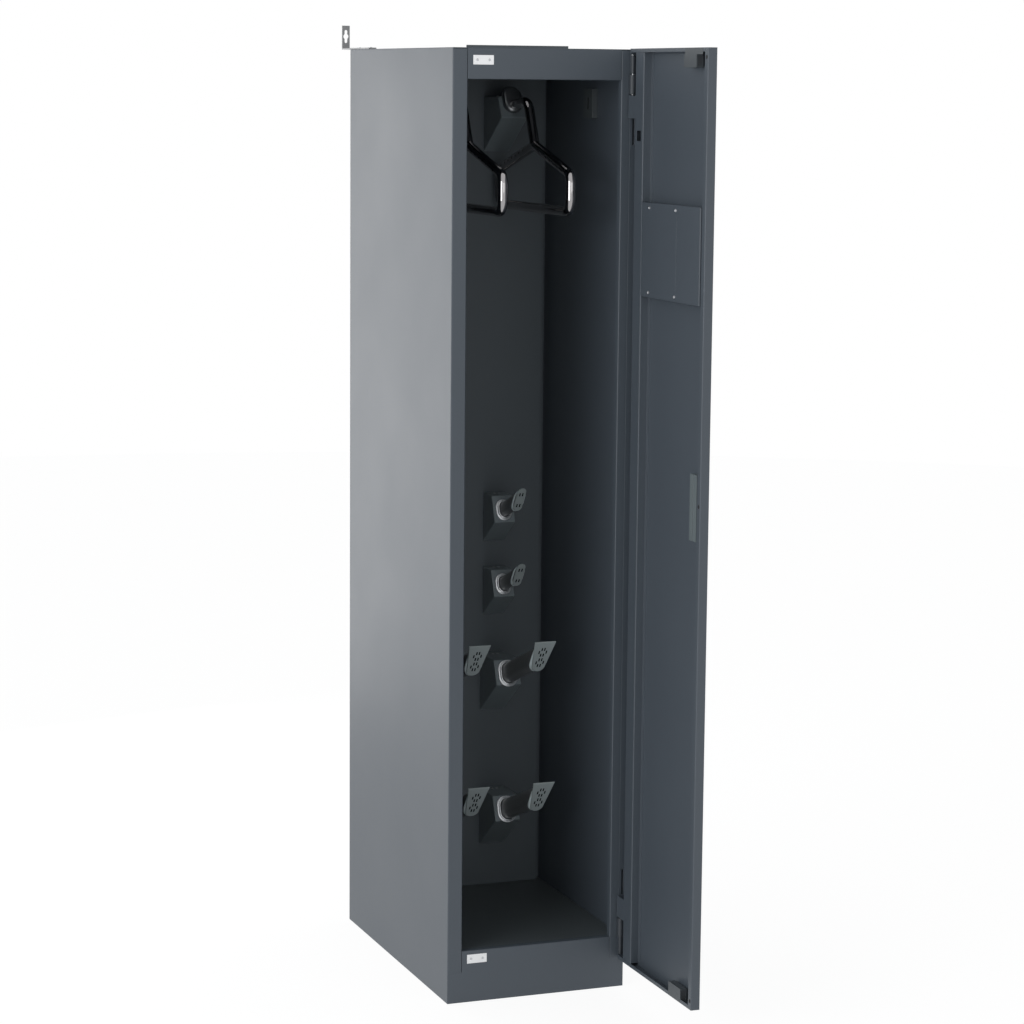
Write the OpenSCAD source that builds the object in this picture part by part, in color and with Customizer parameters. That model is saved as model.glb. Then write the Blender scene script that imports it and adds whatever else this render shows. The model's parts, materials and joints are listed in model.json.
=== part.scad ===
// Drying cabinet: a tall steel locker with an open door, an air wall with ten
// ducted outlets, two tube hangers, four glove arms and four boot arms, and a
// fan and heater behind the air wall. The origin is the centre of the base,
// on the floor; -Y is the front, +Z is up. The door is drawn open at 90 degrees.

/* [Body] */
// Width of the body
body_w = 400; // [392:1:420]
// Depth of the body without its door
body_d = 680; // [660:1:760]
// Height of the body
body_h = 1990; // [1980:1:2020]
// Thickness of the body's sheet steel
sheet = 1.2; // [1:0.1:1.5]
// Visible width of each front stile
stile_w = 32; // [29:1:36]
// Depth of the fold behind each stile's inner edge
jamb_d = 16; // [10:1:20]
// Height of the plinth where it is as wide as the body
plinth_h = 66; // [50:1:72]
// Height of the sill and of the floor inside
sill_h = 111.5; // [105:0.5:118]
// Height of the rail over the door opening
top_rail_h = 63.3; // [56:0.1:66]
// Width of the flanges that hold the back panel
back_flange_w = 18; // [12:1:24]
// Height of the folded edges of the roof, floor and base
fold_h = 15; // [10:1:20]

/* [Air wall] */
// Distance from the front to the air wall
chamber_d = 483; // [478:1:490]
// Groove between the air wall and each side
wall_groove = 12.5; // [8:0.5:16]
// Depth of the groove
groove_d = 20; // [12:1:26]
// Distance of each column of outlets from the middle
column_x = 75; // [70:1:80]

/* [Ducts] */
// Thickness of a duct's sheet
duct_sheet = 1.2; // [1:0.1:1.5]
// Width of a hanger duct
hanger_duct_w = 60; // [56:1:64]
// Reach of a hanger duct from the wall
hanger_duct_d = 111; // [104:1:114]
// Height of a hanger duct's corner over its tip
hanger_duct_rise = 75.5; // [70:0.5:80]
// Height of a hanger duct
hanger_duct_h = 120.5; // [116:0.5:126]
// Distance of a hanger duct's tip under the roof
hanger_drop = 220.5; // [214:0.5:230]
// Backward lean of a hanger duct's front
hanger_face_lean = 28; // [24:1:32]
// Width of a glove duct
glove_duct_w = 49; // [46:1:54]
// Reach of a glove duct from the wall
glove_duct_d = 74; // [68:1:80]
// Height of a glove duct's corner over its tip
glove_duct_rise = 51.5; // [46:0.5:53]
// Height of a glove duct
glove_duct_h = 109; // [107:0.5:114]
// Heights of the glove ducts' tips, upper row and lower row
glove_tip_z = [903.5, 736.5];
// Width of a boot duct
boot_duct_w = 59; // [55:1:64]
// Reach of a boot duct from the wall
boot_duct_d = 108; // [100:1:114]
// Height of a boot duct's corner over its tip
boot_duct_rise = 77; // [70:1:79]
// Height of a boot duct
boot_duct_h = 131; // [129:1:138]
// Heights of the boot ducts' tips, upper row and lower row
boot_tip_z = [517, 207];

/* [Arms] */
// Rise of the arms and backward lean of their ducts' fronts
arm_rise = 20.7; // [18:0.1:24]
// Lean of the end plates from upright, top to the front
tip_lean = 34.5; // [30:0.5:38]
// Wall of an arm's tube
arm_wall = 1.5; // [1:0.1:2]
// Width of a glove arm's tube
glove_tube_w = 22; // [18:1:24]
// Height of a glove arm's tube
glove_tube_h = 32; // [28:1:34]
// Length of a glove arm from its duct to its end plate
glove_arm_len = 105; // [95:1:115]
// Distance from a glove duct's corner to its arm's axis
glove_ring_up = 28; // [26:0.5:30]
// Width of a boot arm's tube
boot_tube_w = 30; // [26:1:32]
// Height of a boot arm's tube
boot_tube_h = 45; // [42:1:46]
// Length of a boot arm from its duct to its end plate
boot_arm_len = 216; // [200:1:224]
// Distance from a boot duct's corner to its arm's axis
boot_ring_up = 26; // [24.5:0.5:28]
// Length of an arm inside its duct
arm_inside = 12; // [8:1:16]
// Running gap between a tube and what it passes through
tube_gap = 0.3; // [0.2:0.05:0.5]
// Width of the collar's flange round a tube
ring_band = 8; // [6:0.5:8.5]
// Thickness of the collar's flange
ring_t = 4; // [3:0.5:6]
// Width of the collar's sleeve round a tube
sleeve_band = 4; // [3:0.5:5]
// Height of the collar's sleeve in front of its flange
sleeve_t = 4; // [3:0.5:6]

/* [End plates] */
// Thickness of an end plate
plate_t = 2.5; // [2:0.1:3]
// Length of a glove end plate
glove_plate_l = 65; // [62:1:70]
// Length of a boot end plate
boot_plate_l = 89; // [86:1:94]
// Width of a boot end plate at its straight top
boot_plate_top_w = 49; // [46:1:54]
// Width of a boot end plate at its round bottom
boot_plate_low_w = 30; // [28:1:34]
// Width of an outlet slot
slot_w = 2.6; // [2:0.1:3]
// Length of an outlet slot
slot_l = 8; // [6:0.5:9]
// Depth of the rim behind an end plate
rim_d = 6; // [4:1:8]
// Thickness of the rim
rim_t = 1.8; // [1.2:0.1:2.5]

/* [Hangers] */
// Outer radius of the hanger tube
hanger_r = 10.5; // [9:0.5:11]
// Distance from the front to the middle of a hanger
hanger_mid_d = 250; // [246:1:254]
// Length of a hanger between the middles of its ends
hanger_l = 420; // [400:1:424]
// Distance of a hanger's lower bar under the roof
hanger_bar_drop = 333; // [326:1:340]
// Height of a hanger's shoulder ends over its lower bar
hanger_end_h = 76; // [70:1:82]
// Height of a hanger's peak over its lower bar
hanger_peak_h = 132; // [126:1:138]
// Bend radius at a hanger's ends
hanger_bend_r = 26; // [22:1:30]
// Bend radius at a hanger's neck
neck_bend_r = 30; // [26:1:34]
// Number of air holes along each half of a hanger
hanger_holes = 7; // [4:1:9]
// Radius of an air hole
air_hole_r = 2.2; // [1.5:0.1:2.5]
// Width of a hanger's hub
hub_w = 43; // [40:1:46]
// Height of a hanger's hub
hub_h = 60; // [56:1:62]
// Thickness of a hanger's hub
hub_t = 12; // [10:1:14]

/* [Door] */
// Width of the door
door_w = 395.8; // [394:0.1:396]
// Depth of the door
door_d = 20; // [18:0.5:24]
// Height of the door's top over the roof
door_over = 1.5; // [0.5:0.5:4]
// Thickness of the door's sheet steel
door_sheet = 1; // [0.8:0.1:1.2]
// Gap between the closed door and the body
door_gap = 1; // [0.9:0.1:1.5]
// Depth of the fold along the hinge edge
hinge_fold_d = 14.6; // [13:0.1:14.8]
// Width of the lip along the free edge
free_lip_w = 15; // [12:0.5:16]
// Width of the lips along the top and bottom
end_lip_w = 8; // [6:0.5:9]
// Distance from the hinge edge to the stiffening channel
channel_in = 40.3; // [38:0.1:44]
// Width of the stiffening channel
channel_w = 42; // [36:1:44]
// Width of the channel's foot
channel_foot = 9; // [7:0.5:9.5]
// Distance of the cable hole's lower edge under the door's top
cable_hole_drop = 187; // [170:1:200]
// Width and height of the cable hole
cable_hole = 21; // [16:1:24]

/* [Hinges] */
// Distance of the hinge axis from the body's right side
pivot_in = 10.5; // [10.4:0.1:10.8]
// Distance of the hinge axis in front of the body
pivot_out = 9; // [8.8:0.1:9.2]
// Radius of the fixed knuckles
knuckle_r = 7.8; // [7:0.1:8]
// Radius of the door's knuckles
leaf_r = 4.7; // [4.5:0.1:6]
// Radius of a hinge pin
pin_r = 3; // [2.5:0.1:3.5]
// Clearance of a pin in the door's knuckles
pin_clear = 0.05; // [0.03:0.01:0.08]
// Distance of the lower fixed knuckle over the door's lower edge
knuckle_low = 48; // [45:1:60]
// Distance of the upper fixed knuckle under the door's top
knuckle_high = 52.5; // [50:0.5:60]
// Length of a fixed knuckle
knuckle_l = 40; // [36:1:44]
// Length of each of the door's knuckles
leaf_l = 38; // [34:1:38]
// Gap between two knuckles
knuckle_gap = 1; // [0.5:0.1:1.5]
// Height of the channel's ear in front of a hinge
ear_h = 46; // [40:1:50]
// Width of the slot beside a hinge
hinge_slot_w = 4; // [3:0.5:5]
// Length of the slot beside a hinge
hinge_slot_l = 55; // [45:1:60]

/* [Door fittings] */
// Height of the cover's lower edge
cover_z = 1489; // [1480:1:1500]
// Height of the cover
cover_h = 193; // [180:1:200]
// Width of the cover
cover_w = 290; // [280:1:292]
// Height of the handle pan's lower edge
handle_z = 1021.5; // [1000:0.5:1040]
// Height of the handle pan
handle_h = 133.5; // [120:0.5:150]
// Width of the handle pan
handle_w = 32; // [30:1:36]
// Depth of the handle pan behind the door's face
handle_d = 16; // [14:0.5:17]
// Wall of the handle pan
handle_wall = 1.5; // [1.2:0.1:2]
// Width of the finger lip over the pan
finger_lip = 11; // [9:1:14]
// Width of the magnet catches
magnet_w = 60; // [54:1:62]
// Depth of the magnet catches
magnet_d = 15; // [12:0.5:17]
// Height of the magnet catches
magnet_h = 25.5; // [22:0.5:28]
// Distance of the magnet catches from the free edge
magnet_in = 54; // [50:1:58]
// Width of a strike plate
strike_w = 44; // [40:1:48]
// Height of a strike plate
strike_h = 19; // [16:1:22]
// Thickness of a strike plate
strike_t = 0.7; // [0.5:0.05:0.7]

/* [Controls] */
// Width of the control panel
panel_w = 140; // [120:1:150]
// Height of the control panel
panel_h = 110; // [90:1:120]
// Thickness of the control panel
panel_t = 3; // [2.5:0.5:4]
// Distance of the control panel's middle from the door's hinge edge
control_in = 189.3; // [185:0.1:194]
// Radius of the timer knob
knob_r = 19; // [16:1:22]
// Height of the timer knob
knob_h = 17; // [14:1:20]
// Radius of the timer's shaft
timer_shaft_r = 3; // [2.5:0.1:3.5]
// Radius of the start button
button_r = 8; // [6:0.5:9]
// Travel of the start button
button_travel = 2; // [1.5:0.1:2.5]
// Clearance round the button and the timer's shaft
control_clear = 0.1; // [0.05:0.01:0.15]

/* [Roof fittings] */
// Width and depth of the vent cover
vent_w = 227; // [210:1:240]
// Height of the vent cover's folded-up front edge
vent_h = 7; // [6:0.5:9]
// Distance from the front to the vent cover
vent_front_d = 160; // [140:1:180]
// Radius of the air outlet in the roof
vent_hole_r = 62; // [50:1:70]
// Width of the wall bracket's bar
bracket_w = 17.5; // [16:0.1:22]
// Thickness of the wall bracket's bar
bracket_t = 3.2; // [3:0.1:4]
// Length of the bracket's bar on the roof
bracket_on_roof = 132; // [120:1:150]
// Reach of the bracket behind the body
bracket_out = 63; // [40:1:70]
// Height of the bracket over the roof
bracket_h = 53; // [48:0.5:56]
// Height of the keyhole's middle over the roof
keyhole_z = 29; // [26:0.5:30]
// Radius of the keyhole's round part
keyhole_r = 6; // [5:0.5:6.5]
// Width of the keyhole's slot
keyhole_slot_w = 6.5; // [5:0.5:8]
// Length of the keyhole's slot
keyhole_slot_l = 29; // [26:1:32]
// Width, depth and height of the sensor cover
sensor_size = [12, 50, 62];
// Distance from the front to the sensor cover
sensor_front_d = 203; // [190:1:215]
// Distance of the sensor cover's lower edge under the roof
sensor_drop = 143; // [130:1:160]

/* [Fan and heater] */
// Height of the fan's axis
fan_z = 1420; // [1400:5:1440]
// Outer radius of the fan housing
fan_r = 96; // [92:1:100]
// Depth of the fan housing
fan_d = 80; // [70:1:85]
// Distance of the fan housing behind the air wall
fan_off = 47; // [44:1:50]
// Wall of the fan housing
fan_wall = 1.5; // [1.2:0.1:2]
// Outer radius of the impeller
impeller_r = 78; // [70:1:82]
// Inner radius of the impeller's blades
blade_in_r = 62; // [56:1:66]
// Number of blades
blades = 28; // [20:1:36]
// Radius of the fan's shaft
fan_shaft_r = 4; // [3:0.5:5]
// Clearance of the shaft in the motor
shaft_clear = 0.05; // [0.03:0.01:0.08]
// Radius of the motor
motor_r = 45; // [38:1:50]
// Width of the air duct under the fan
outlet_w = 66; // [60:1:72]
// Distance of the heater's top under the fan's axis
outlet_drop = 120; // [110:1:130]
// Height of the heater
heater_h = 65; // [55:1:75]
// Width and height of the air filter
filter_w = 240; // [220:5:260]
// Thickness of the air filter
filter_t = 12; // [10:1:16]

/* [Hidden] */
$fn = 48;

eps = 0.01;

// The body's faces
left_x = -body_w / 2;
right_x = body_w / 2;
front_y = -body_d / 2;
back_y = body_d / 2;
wall_y = front_y + chamber_d;
roof_z = body_h - sheet;
hanger_tip_z = body_h - hanger_drop;
hanger_bar_z = body_h - hanger_bar_drop;
inside_w = body_w - 2 * sheet;
opening_w = body_w - 2 * stile_w;
panel_y = back_y - 2 * sheet;

// The open door's faces: it stands at right angles to the front, its inner side to -X
pivot = [right_x - pivot_in, front_y - pivot_out];
door_in_x = pivot[0] - pivot_out + door_gap;
door_out_x = door_in_x + door_d;
skin_x = door_out_x - door_sheet;
door_hinge_y = pivot[1] + pivot_in - (body_w - 2 - door_w);
door_free_y = door_hinge_y - door_w;
door_z = plinth_h;
door_top_z = body_h + door_over;
channel_y = door_hinge_y - channel_in;
cover_y = channel_y - channel_w - 0.5;

// Colours
paint = [0.17, 0.20, 0.23];
paint_dark = [0.14, 0.165, 0.19];
steel = [0.75, 0.76, 0.78];
silver = [0.85, 0.86, 0.88];
black = [0.06, 0.06, 0.07];
grey = [0.45, 0.50, 0.52];
white = [0.93, 0.94, 0.95];

// A box between two corners
module span(a, b) {
    translate(a) cube(b - a);
}

// An upright stadium: w wide and h high, with round ends
module stadium(w, h) {
    square([w, h - w], center = true);
    for (s = [-1, 1]) {
        translate([0, s * (h - w) / 2]) circle(d = w);
    }
}

// A flat plate's outline with round corners
module round_rect(w, h, r) {
    square([w - 2 * r, h], center = true);
    square([w, h - 2 * r], center = true);
    for (sx = [-1, 1], sy = [-1, 1]) {
        translate([sx * (w / 2 - r), sy * (h / 2 - r)]) circle(r = r);
    }
}

// Its children on both sides of the middle plane
module both_sides() {
    children();
    mirror([1, 0, 0]) children();
}

function unit(v) = v / norm(v);

// The corners of a convex outline moved inwards by t
function inset(p, t) = [for (i = [0:len(p) - 1])
    let (
        a = p[(i + len(p) - 1) % len(p)],
        b = p[i],
        c = p[(i + 1) % len(p)],
        u = unit(b - a),
        v = unit(c - b)
    ) b + (v - u) * t / cross(u, v)];

// ---------------------------------------------------------------- body shell

// The left side: wall, front stile with its jamb, and back flange
module side_shell() {
    stile_x = left_x + stile_w;
    span([left_x, front_y + sheet, 0], [left_x + sheet, back_y, roof_z]);
    span([left_x, front_y, plinth_h], [stile_x, front_y + sheet, roof_z]);
    span([stile_x - sheet, front_y, plinth_h], [stile_x, front_y + jamb_d, roof_z]);
    span([left_x, back_y - sheet, 0], [left_x + back_flange_w, back_y, roof_z]);
}

module side_left() {
    color(paint) side_shell();
}

module side_right() {
    color(paint) difference() {
        mirror([1, 0, 0]) side_shell();
        hinge_slots();
    }
}

vent_y = front_y + vent_front_d + vent_w / 2;

module roof() {
    fold_front = front_y + jamb_d + fold_h;
    fold_back = wall_y - fold_h;
    color(paint) difference() {
        union() {
            span([left_x, front_y, roof_z], [right_x, back_y, body_h]);
            both_sides() {
                span([left_x + sheet, fold_front, roof_z - fold_h],
                    [left_x + 2 * sheet, fold_back, roof_z + eps]);
            }
        }
        translate([0, vent_y, roof_z - fold_h]) cylinder(r = vent_hole_r, h = 2 * fold_h);
    }
}

module base_tray() {
    color(paint_dark) {
        span([-inside_w / 2, front_y + sheet, 0], [inside_w / 2, panel_y, sheet]);
        both_sides() {
            span([-inside_w / 2, front_y + sheet, 0],
                [-inside_w / 2 + sheet, panel_y, sheet + fold_h]);
        }
    }
}

module floor_pan() {
    color(paint_dark) {
        span([-inside_w / 2, front_y + jamb_d, sill_h - sheet], [inside_w / 2, panel_y, sill_h]);
        both_sides() {
            span([-inside_w / 2, front_y + jamb_d, sill_h - fold_h],
                [-inside_w / 2 + sheet, panel_y, sill_h]);
        }
    }
}

louvre_rows = 13;
louvre_pitch = 15;
louvre_w = 94;
louvre_h = 6;

module rear_panel() {
    color(paint_dark) difference() {
        span([-inside_w / 2, panel_y, 0], [inside_w / 2, panel_y + sheet, roof_z]);
        for (row = [0:louvre_rows - 1], sx = [-1, 1]) {
            z = fan_z + (row - (louvre_rows - 1) / 2) * louvre_pitch;
            translate([sx * (louvre_w / 2 + 6), panel_y + sheet / 2, z])
                cube([louvre_w, 4 * sheet, louvre_h], center = true);
        }
    }
}

module top_rail() {
    rail_z = body_h - top_rail_h;
    color(paint) {
        span([-opening_w / 2, front_y, rail_z], [opening_w / 2, front_y + sheet, roof_z]);
        span([-opening_w / 2, front_y, rail_z], [opening_w / 2, front_y + jamb_d, rail_z + sheet]);
    }
}

module plinth() {
    color(paint) {
        span([left_x, front_y, 0], [right_x, front_y + sheet, plinth_h]);
        span([-opening_w / 2, front_y, plinth_h - eps], [opening_w / 2, front_y + sheet, sill_h]);
        span([-opening_w / 2, front_y, sill_h - sheet],
            [opening_w / 2, front_y + jamb_d, sill_h]);
    }
}

// ---------------------------------------------------------------- air wall and ducts

// A duct's side outline in Y (back to front is negative) and Z, from its tip:
// tip, wall top, front top, corner
function duct_outline(d, rise, h, lean) = [
    [0, 0],
    [0, h],
    [-d + (h - rise) * tan(lean), h],
    [-d, rise]
];

// Kinds of duct: [width, reach, corner height, height, front lean]
hanger_kind = [hanger_duct_w, hanger_duct_d, hanger_duct_rise, hanger_duct_h, hanger_face_lean];
glove_kind = [glove_duct_w, glove_duct_d, glove_duct_rise, glove_duct_h, arm_rise];
boot_kind = [boot_duct_w, boot_duct_d, boot_duct_rise, boot_duct_h, arm_rise];

// Every duct: [kind, height of its tip]
duct_rows = [
    [hanger_kind, hanger_tip_z],
    [glove_kind, glove_tip_z[0]],
    [glove_kind, glove_tip_z[1]],
    [boot_kind, boot_tip_z[0]],
    [boot_kind, boot_tip_z[1]]
];

duct_margin = 5;

// The air passage through the wall into a duct
module duct_port(kind, tip_z) {
    w = kind[0] - 2 * duct_sheet - 2 * duct_margin;
    z0 = tip_z + kind[3] * 0.3;
    z1 = tip_z + kind[3] - duct_margin - duct_sheet;
    span([-w / 2, wall_y - 2 * duct_sheet, z0], [w / 2, wall_y + 2 * sheet, z1]);
}

module air_wall() {
    face_x = body_w / 2 - wall_groove;
    color(paint_dark) difference() {
        union() {
            span([-face_x, wall_y, sill_h], [face_x, wall_y + sheet, roof_z]);
            both_sides() {
                span([-face_x, wall_y, sill_h], [-face_x + sheet, wall_y + groove_d, roof_z]);
                span([-inside_w / 2, wall_y + groove_d - sheet, sill_h],
                    [-face_x + sheet, wall_y + groove_d, roof_z]);
            }
        }
        for (row = duct_rows, sx = [-1, 1]) {
            translate([sx * column_x, 0, 0]) duct_port(row[0], row[1]);
        }
    }
}

// A point on a duct's leaning front, up from its corner, in the middle plane
function face_point(kind, tip_z, up) = [
    wall_y - kind[1] + up * sin(kind[4]),
    tip_z + kind[2] + up * cos(kind[4])
];

// Its children in a frame on a duct's front: local Z leaves the duct, local Y
// runs up the front
module on_front(kind, tip_z, up, side) {
    p = face_point(kind, tip_z, up);
    translate([side * column_x, p[0], p[1]]) rotate([90 - kind[4], 0, 0]) children();
}

// A folded sheet-metal duct on the wall, hollow, with its port behind
module duct(kind, tip_z, side) {
    outline = duct_outline(kind[1], kind[2], kind[3], kind[4]);
    color(paint_dark) difference() {
        translate([side * column_x, wall_y, tip_z]) rotate([90, 0, 90])
            linear_extrude(height = kind[0], center = true) polygon(outline);
        translate([side * column_x, wall_y, tip_z]) rotate([90, 0, 90])
            linear_extrude(height = kind[0] - 2 * duct_sheet, center = true)
                polygon(inset(outline, duct_sheet));
        translate([side * column_x, 0, 0]) duct_port(kind, tip_z);
        children();
    }
}

// The tube's passage through a duct's front
module tube_hole(kind, tip_z, up, side, w, h) {
    on_front(kind, tip_z, up, side)
        translate([0, 0, -arm_inside]) linear_extrude(height = 2 * arm_inside)
            stadium(w + 2 * tube_gap, h + 2 * tube_gap);
}

module hanger_duct(side) {
    duct(hanger_kind, hanger_tip_z, side) {
        neck_hole(side);
    }
}

module glove_duct(row, side) {
    duct(glove_kind, glove_tip_z[row], side)
        tube_hole(glove_kind, glove_tip_z[row], glove_ring_up, side, glove_tube_w, glove_tube_h);
}

module boot_duct(row, side) {
    duct(boot_kind, boot_tip_z[row], side)
        tube_hole(boot_kind, boot_tip_z[row], boot_ring_up, side, boot_tube_w, boot_tube_h);
}

module hanger_duct_left() { hanger_duct(-1); }
module hanger_duct_right() { hanger_duct(1); }
module glove_duct_upper_left() { glove_duct(0, -1); }
module glove_duct_upper_right() { glove_duct(0, 1); }
module glove_duct_lower_left() { glove_duct(1, -1); }
module glove_duct_lower_right() { glove_duct(1, 1); }
module boot_duct_upper_left() { boot_duct(0, -1); }
module boot_duct_upper_right() { boot_duct(0, 1); }
module boot_duct_lower_left() { boot_duct(1, -1); }
module boot_duct_lower_right() { boot_duct(1, 1); }

duct_screw_r = 3;
duct_screw_h = 1.6;
duct_screw_in = 20;
duct_screw_dx = 5.5;

module duct_screws() {
    color(steel) for (row = duct_rows, sx = [-1, 1], dx = [-1, 1]) {
        translate([sx * column_x + dx * duct_screw_dx, wall_y - duct_screw_in,
            row[1] + row[0][3]])
            cylinder(r = duct_screw_r, h = duct_screw_h);
    }
}

// ---------------------------------------------------------------- arms

tip_angle = tip_lean + arm_rise;

// The half space in front of an arm's slanted end, shifted along the plate's normal
module beyond_tip(len, shift) {
    reach = 300;
    translate([0, 0, len]) rotate([tip_angle, 0, 0])
        translate([-reach, -reach, shift]) cube([2 * reach, 2 * reach, reach]);
}

// A flattened tube along local Z whose front end is cut to the end plate's slope
module arm(kind, tip_z, up, side, w, h, len) {
    color(black) on_front(kind, tip_z, up, side) difference() {
        translate([0, 0, -arm_inside]) linear_extrude(height = len + arm_inside + 2 * h)
            stadium(w, h);
        translate([0, 0, -2 * arm_inside]) linear_extrude(height = len + 4 * h)
            stadium(w - 2 * arm_wall, h - 2 * arm_wall);
        beyond_tip(len, 0);
    }
}

module glove_arm(row, side) {
    arm(glove_kind, glove_tip_z[row], glove_ring_up, side, glove_tube_w, glove_tube_h,
        glove_arm_len);
}

module boot_arm(row, side) {
    arm(boot_kind, boot_tip_z[row], boot_ring_up, side, boot_tube_w, boot_tube_h, boot_arm_len);
}

module glove_arm_upper_left() { glove_arm(0, -1); }
module glove_arm_upper_right() { glove_arm(0, 1); }
module glove_arm_lower_left() { glove_arm(1, -1); }
module glove_arm_lower_right() { glove_arm(1, 1); }
module boot_arm_upper_left() { boot_arm(0, -1); }
module boot_arm_upper_right() { boot_arm(0, 1); }
module boot_arm_lower_left() { boot_arm(1, -1); }
module boot_arm_lower_right() { boot_arm(1, 1); }

// A stepped collar round a tube: flange on the duct, then a narrower sleeve
module collar(w, h) {
    difference() {
        union() {
            linear_extrude(height = ring_t) stadium(w + 2 * ring_band, h + 2 * ring_band);
            linear_extrude(height = ring_t + sleeve_t)
                stadium(w + 2 * sleeve_band, h + 2 * sleeve_band);
        }
        translate([0, 0, -ring_t]) linear_extrude(height = 4 * (ring_t + sleeve_t))
            stadium(w + 2 * tube_gap, h + 2 * tube_gap);
    }
}

module ring_collars() {
    color(silver) for (row = [0, 1], side = [-1, 1]) {
        on_front(glove_kind, glove_tip_z[row], glove_ring_up, side)
            collar(glove_tube_w, glove_tube_h);
        on_front(boot_kind, boot_tip_z[row], boot_ring_up, side)
            collar(boot_tube_w, boot_tube_h);
    }
}

// A thin rim round the end of a tube, behind its end plate
module rim(w, h, len) {
    difference() {
        translate([0, 0, len - 2 * h]) linear_extrude(height = 4 * h)
            stadium(w + 2 * rim_t, h + 2 * rim_t);
        translate([0, 0, len - 3 * h]) linear_extrude(height = 6 * h)
            stadium(w + tube_gap, h + tube_gap);
        beyond_tip(len, 0);
        translate([0, 0, len]) rotate([tip_angle, 0, 0])
            translate([-2 * h, -4 * h, -rim_d - 8 * h]) cube([4 * h, 8 * h, 8 * h]);
    }
}

module glove_plate() {
    slot_y = glove_plate_l / 2 - 13;
    difference() {
        linear_extrude(height = plate_t) stadium(glove_tube_w - 2, glove_plate_l);
        for (sy = [-1, 1], sx = [-1, 1]) {
            translate([sx * 3.4, sy * slot_y, plate_t / 2])
                cube([slot_w, slot_l, 2 * plate_t], center = true);
        }
    }
}

module boot_plate() {
    low_r = boot_plate_low_w / 2;
    top_y = boot_plate_l / 2;
    flower_ring = [[-3, 12], [3, 12], [-9, 8], [9, 8], [-3, 1.5], [3, 1.5]];
    difference() {
        linear_extrude(height = plate_t) {
            translate([0, low_r - top_y]) circle(r = low_r);
            polygon([[-low_r, low_r - top_y], [low_r, low_r - top_y],
                [boot_plate_top_w / 2, top_y], [-boot_plate_top_w / 2, top_y]]);
        }
        for (p = flower_ring, s = [-1, 1]) {
            translate([p[0], 2 + s * (p[1] + 3), plate_t / 2])
                cube([slot_w, slot_l - 2, 2 * plate_t], center = true);
        }
    }
}

module glove_tips() {
    color(grey) for (row = [0, 1], side = [-1, 1]) {
        on_front(glove_kind, glove_tip_z[row], glove_ring_up, side) {
            translate([0, 0, glove_arm_len]) rotate([tip_angle, 0, 0]) glove_plate();
            rim(glove_tube_w, glove_tube_h, glove_arm_len);
        }
    }
}

module boot_tips() {
    color(grey) for (row = [0, 1], side = [-1, 1]) {
        on_front(boot_kind, boot_tip_z[row], boot_ring_up, side) {
            translate([0, 0, boot_arm_len]) rotate([tip_angle, 0, 0]) boot_plate();
            rim(boot_tube_w, boot_tube_h, boot_arm_len);
        }
    }
}

// ---------------------------------------------------------------- hangers

hanger_mid_y = front_y + hanger_mid_d;
hub_up = 41;
hub_point = face_point(hanger_kind, hanger_tip_z, hub_up);
neck_inside = 6;
neck_drop = 9;
neck_back = 42;
neck_start = [hub_point[0] + neck_inside, hub_point[1] - neck_drop];
neck_top = [hanger_mid_y + neck_back, hub_point[1]];
neck_tilt = atan2(neck_drop, neck_start[0] - neck_top[0]);
hanger_peak = [hanger_mid_y, hanger_bar_z + hanger_peak_h];

// The closed loop's corners in Y and Z, with their bend radii
hanger_loop = [
    [hanger_peak, neck_bend_r],
    [[hanger_mid_y - hanger_l / 2, hanger_bar_z + hanger_end_h], hanger_bend_r],
    [[hanger_mid_y - hanger_l / 2, hanger_bar_z], hanger_bend_r],
    [[hanger_mid_y + hanger_l / 2, hanger_bar_z], hanger_bend_r],
    [[hanger_mid_y + hanger_l / 2, hanger_bar_z + hanger_end_h], hanger_bend_r]
];

// Half of the turn between two directions
function half_turn(u, v) = acos(max(-1, min(1, u * v))) / 2;

// A direction in the plane, turned by an angle
function turned(u, a) = [u[0] * cos(a) - u[1] * sin(a), u[0] * sin(a) + u[1] * cos(a)];

bend_steps = 7;

// The places and directions along a bend at corner p from direction u to direction v
function bend_places(p, u, v, bend_r) =
    let (
        half = half_turn(u, v),
        side = cross(u, v) > 0 ? 1 : -1,
        n = side * [-u[1], u[0]],
        c = p - u * bend_r * tan(half) + n * bend_r
    ) [for (j = [0:bend_steps])
        let (a = side * 2 * half * j / bend_steps)
            [c - turned(n, a) * bend_r, turned(u, a)]];

// The places along the closed loop
loop_places = [for (i = [0:len(hanger_loop) - 1])
    let (
        n = len(hanger_loop),
        a = hanger_loop[(i + n - 1) % n][0],
        b = hanger_loop[i][0],
        c = hanger_loop[(i + 1) % n][0]
    ) each bend_places(b, unit(b - a), unit(c - b), hanger_loop[i][1])];

// The places along the neck, from the hub to the hanger's peak
neck_places = let (u = unit(neck_top - neck_start), v = unit(hanger_peak - neck_top)) [
    [neck_start, u],
    each bend_places(neck_top, u, v, neck_bend_r),
    [hanger_peak, v]
];

tube_sides = 16;

// A tube through places in the YZ plane, closed on itself or with flat ends
module swept_tube(places, r, closed) {
    rings = len(places);
    points = [for (place = places, k = [0:tube_sides - 1])
        let (a = 360 * k / tube_sides, d = place[1])
            [r * sin(a), place[0][0] - d[1] * r * cos(a), place[0][1] + d[0] * r * cos(a)]];
    walls = [for (i = [0:rings - (closed ? 1 : 2)], k = [0:tube_sides - 1])
        let (
            next = (i + 1) % rings,
            k1 = (k + 1) % tube_sides,
            a = i * tube_sides + k,
            b = i * tube_sides + k1,
            c = next * tube_sides + k1,
            d = next * tube_sides + k
        ) each [[a, c, b], [a, d, c]]];
    ends = closed ? [] : [
        [for (k = [0:tube_sides - 1]) k],
        [for (k = [0:tube_sides - 1]) rings * tube_sides - 1 - k]
    ];
    polyhedron(points = points, faces = concat(walls, ends), convexity = 6);
}

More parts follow.
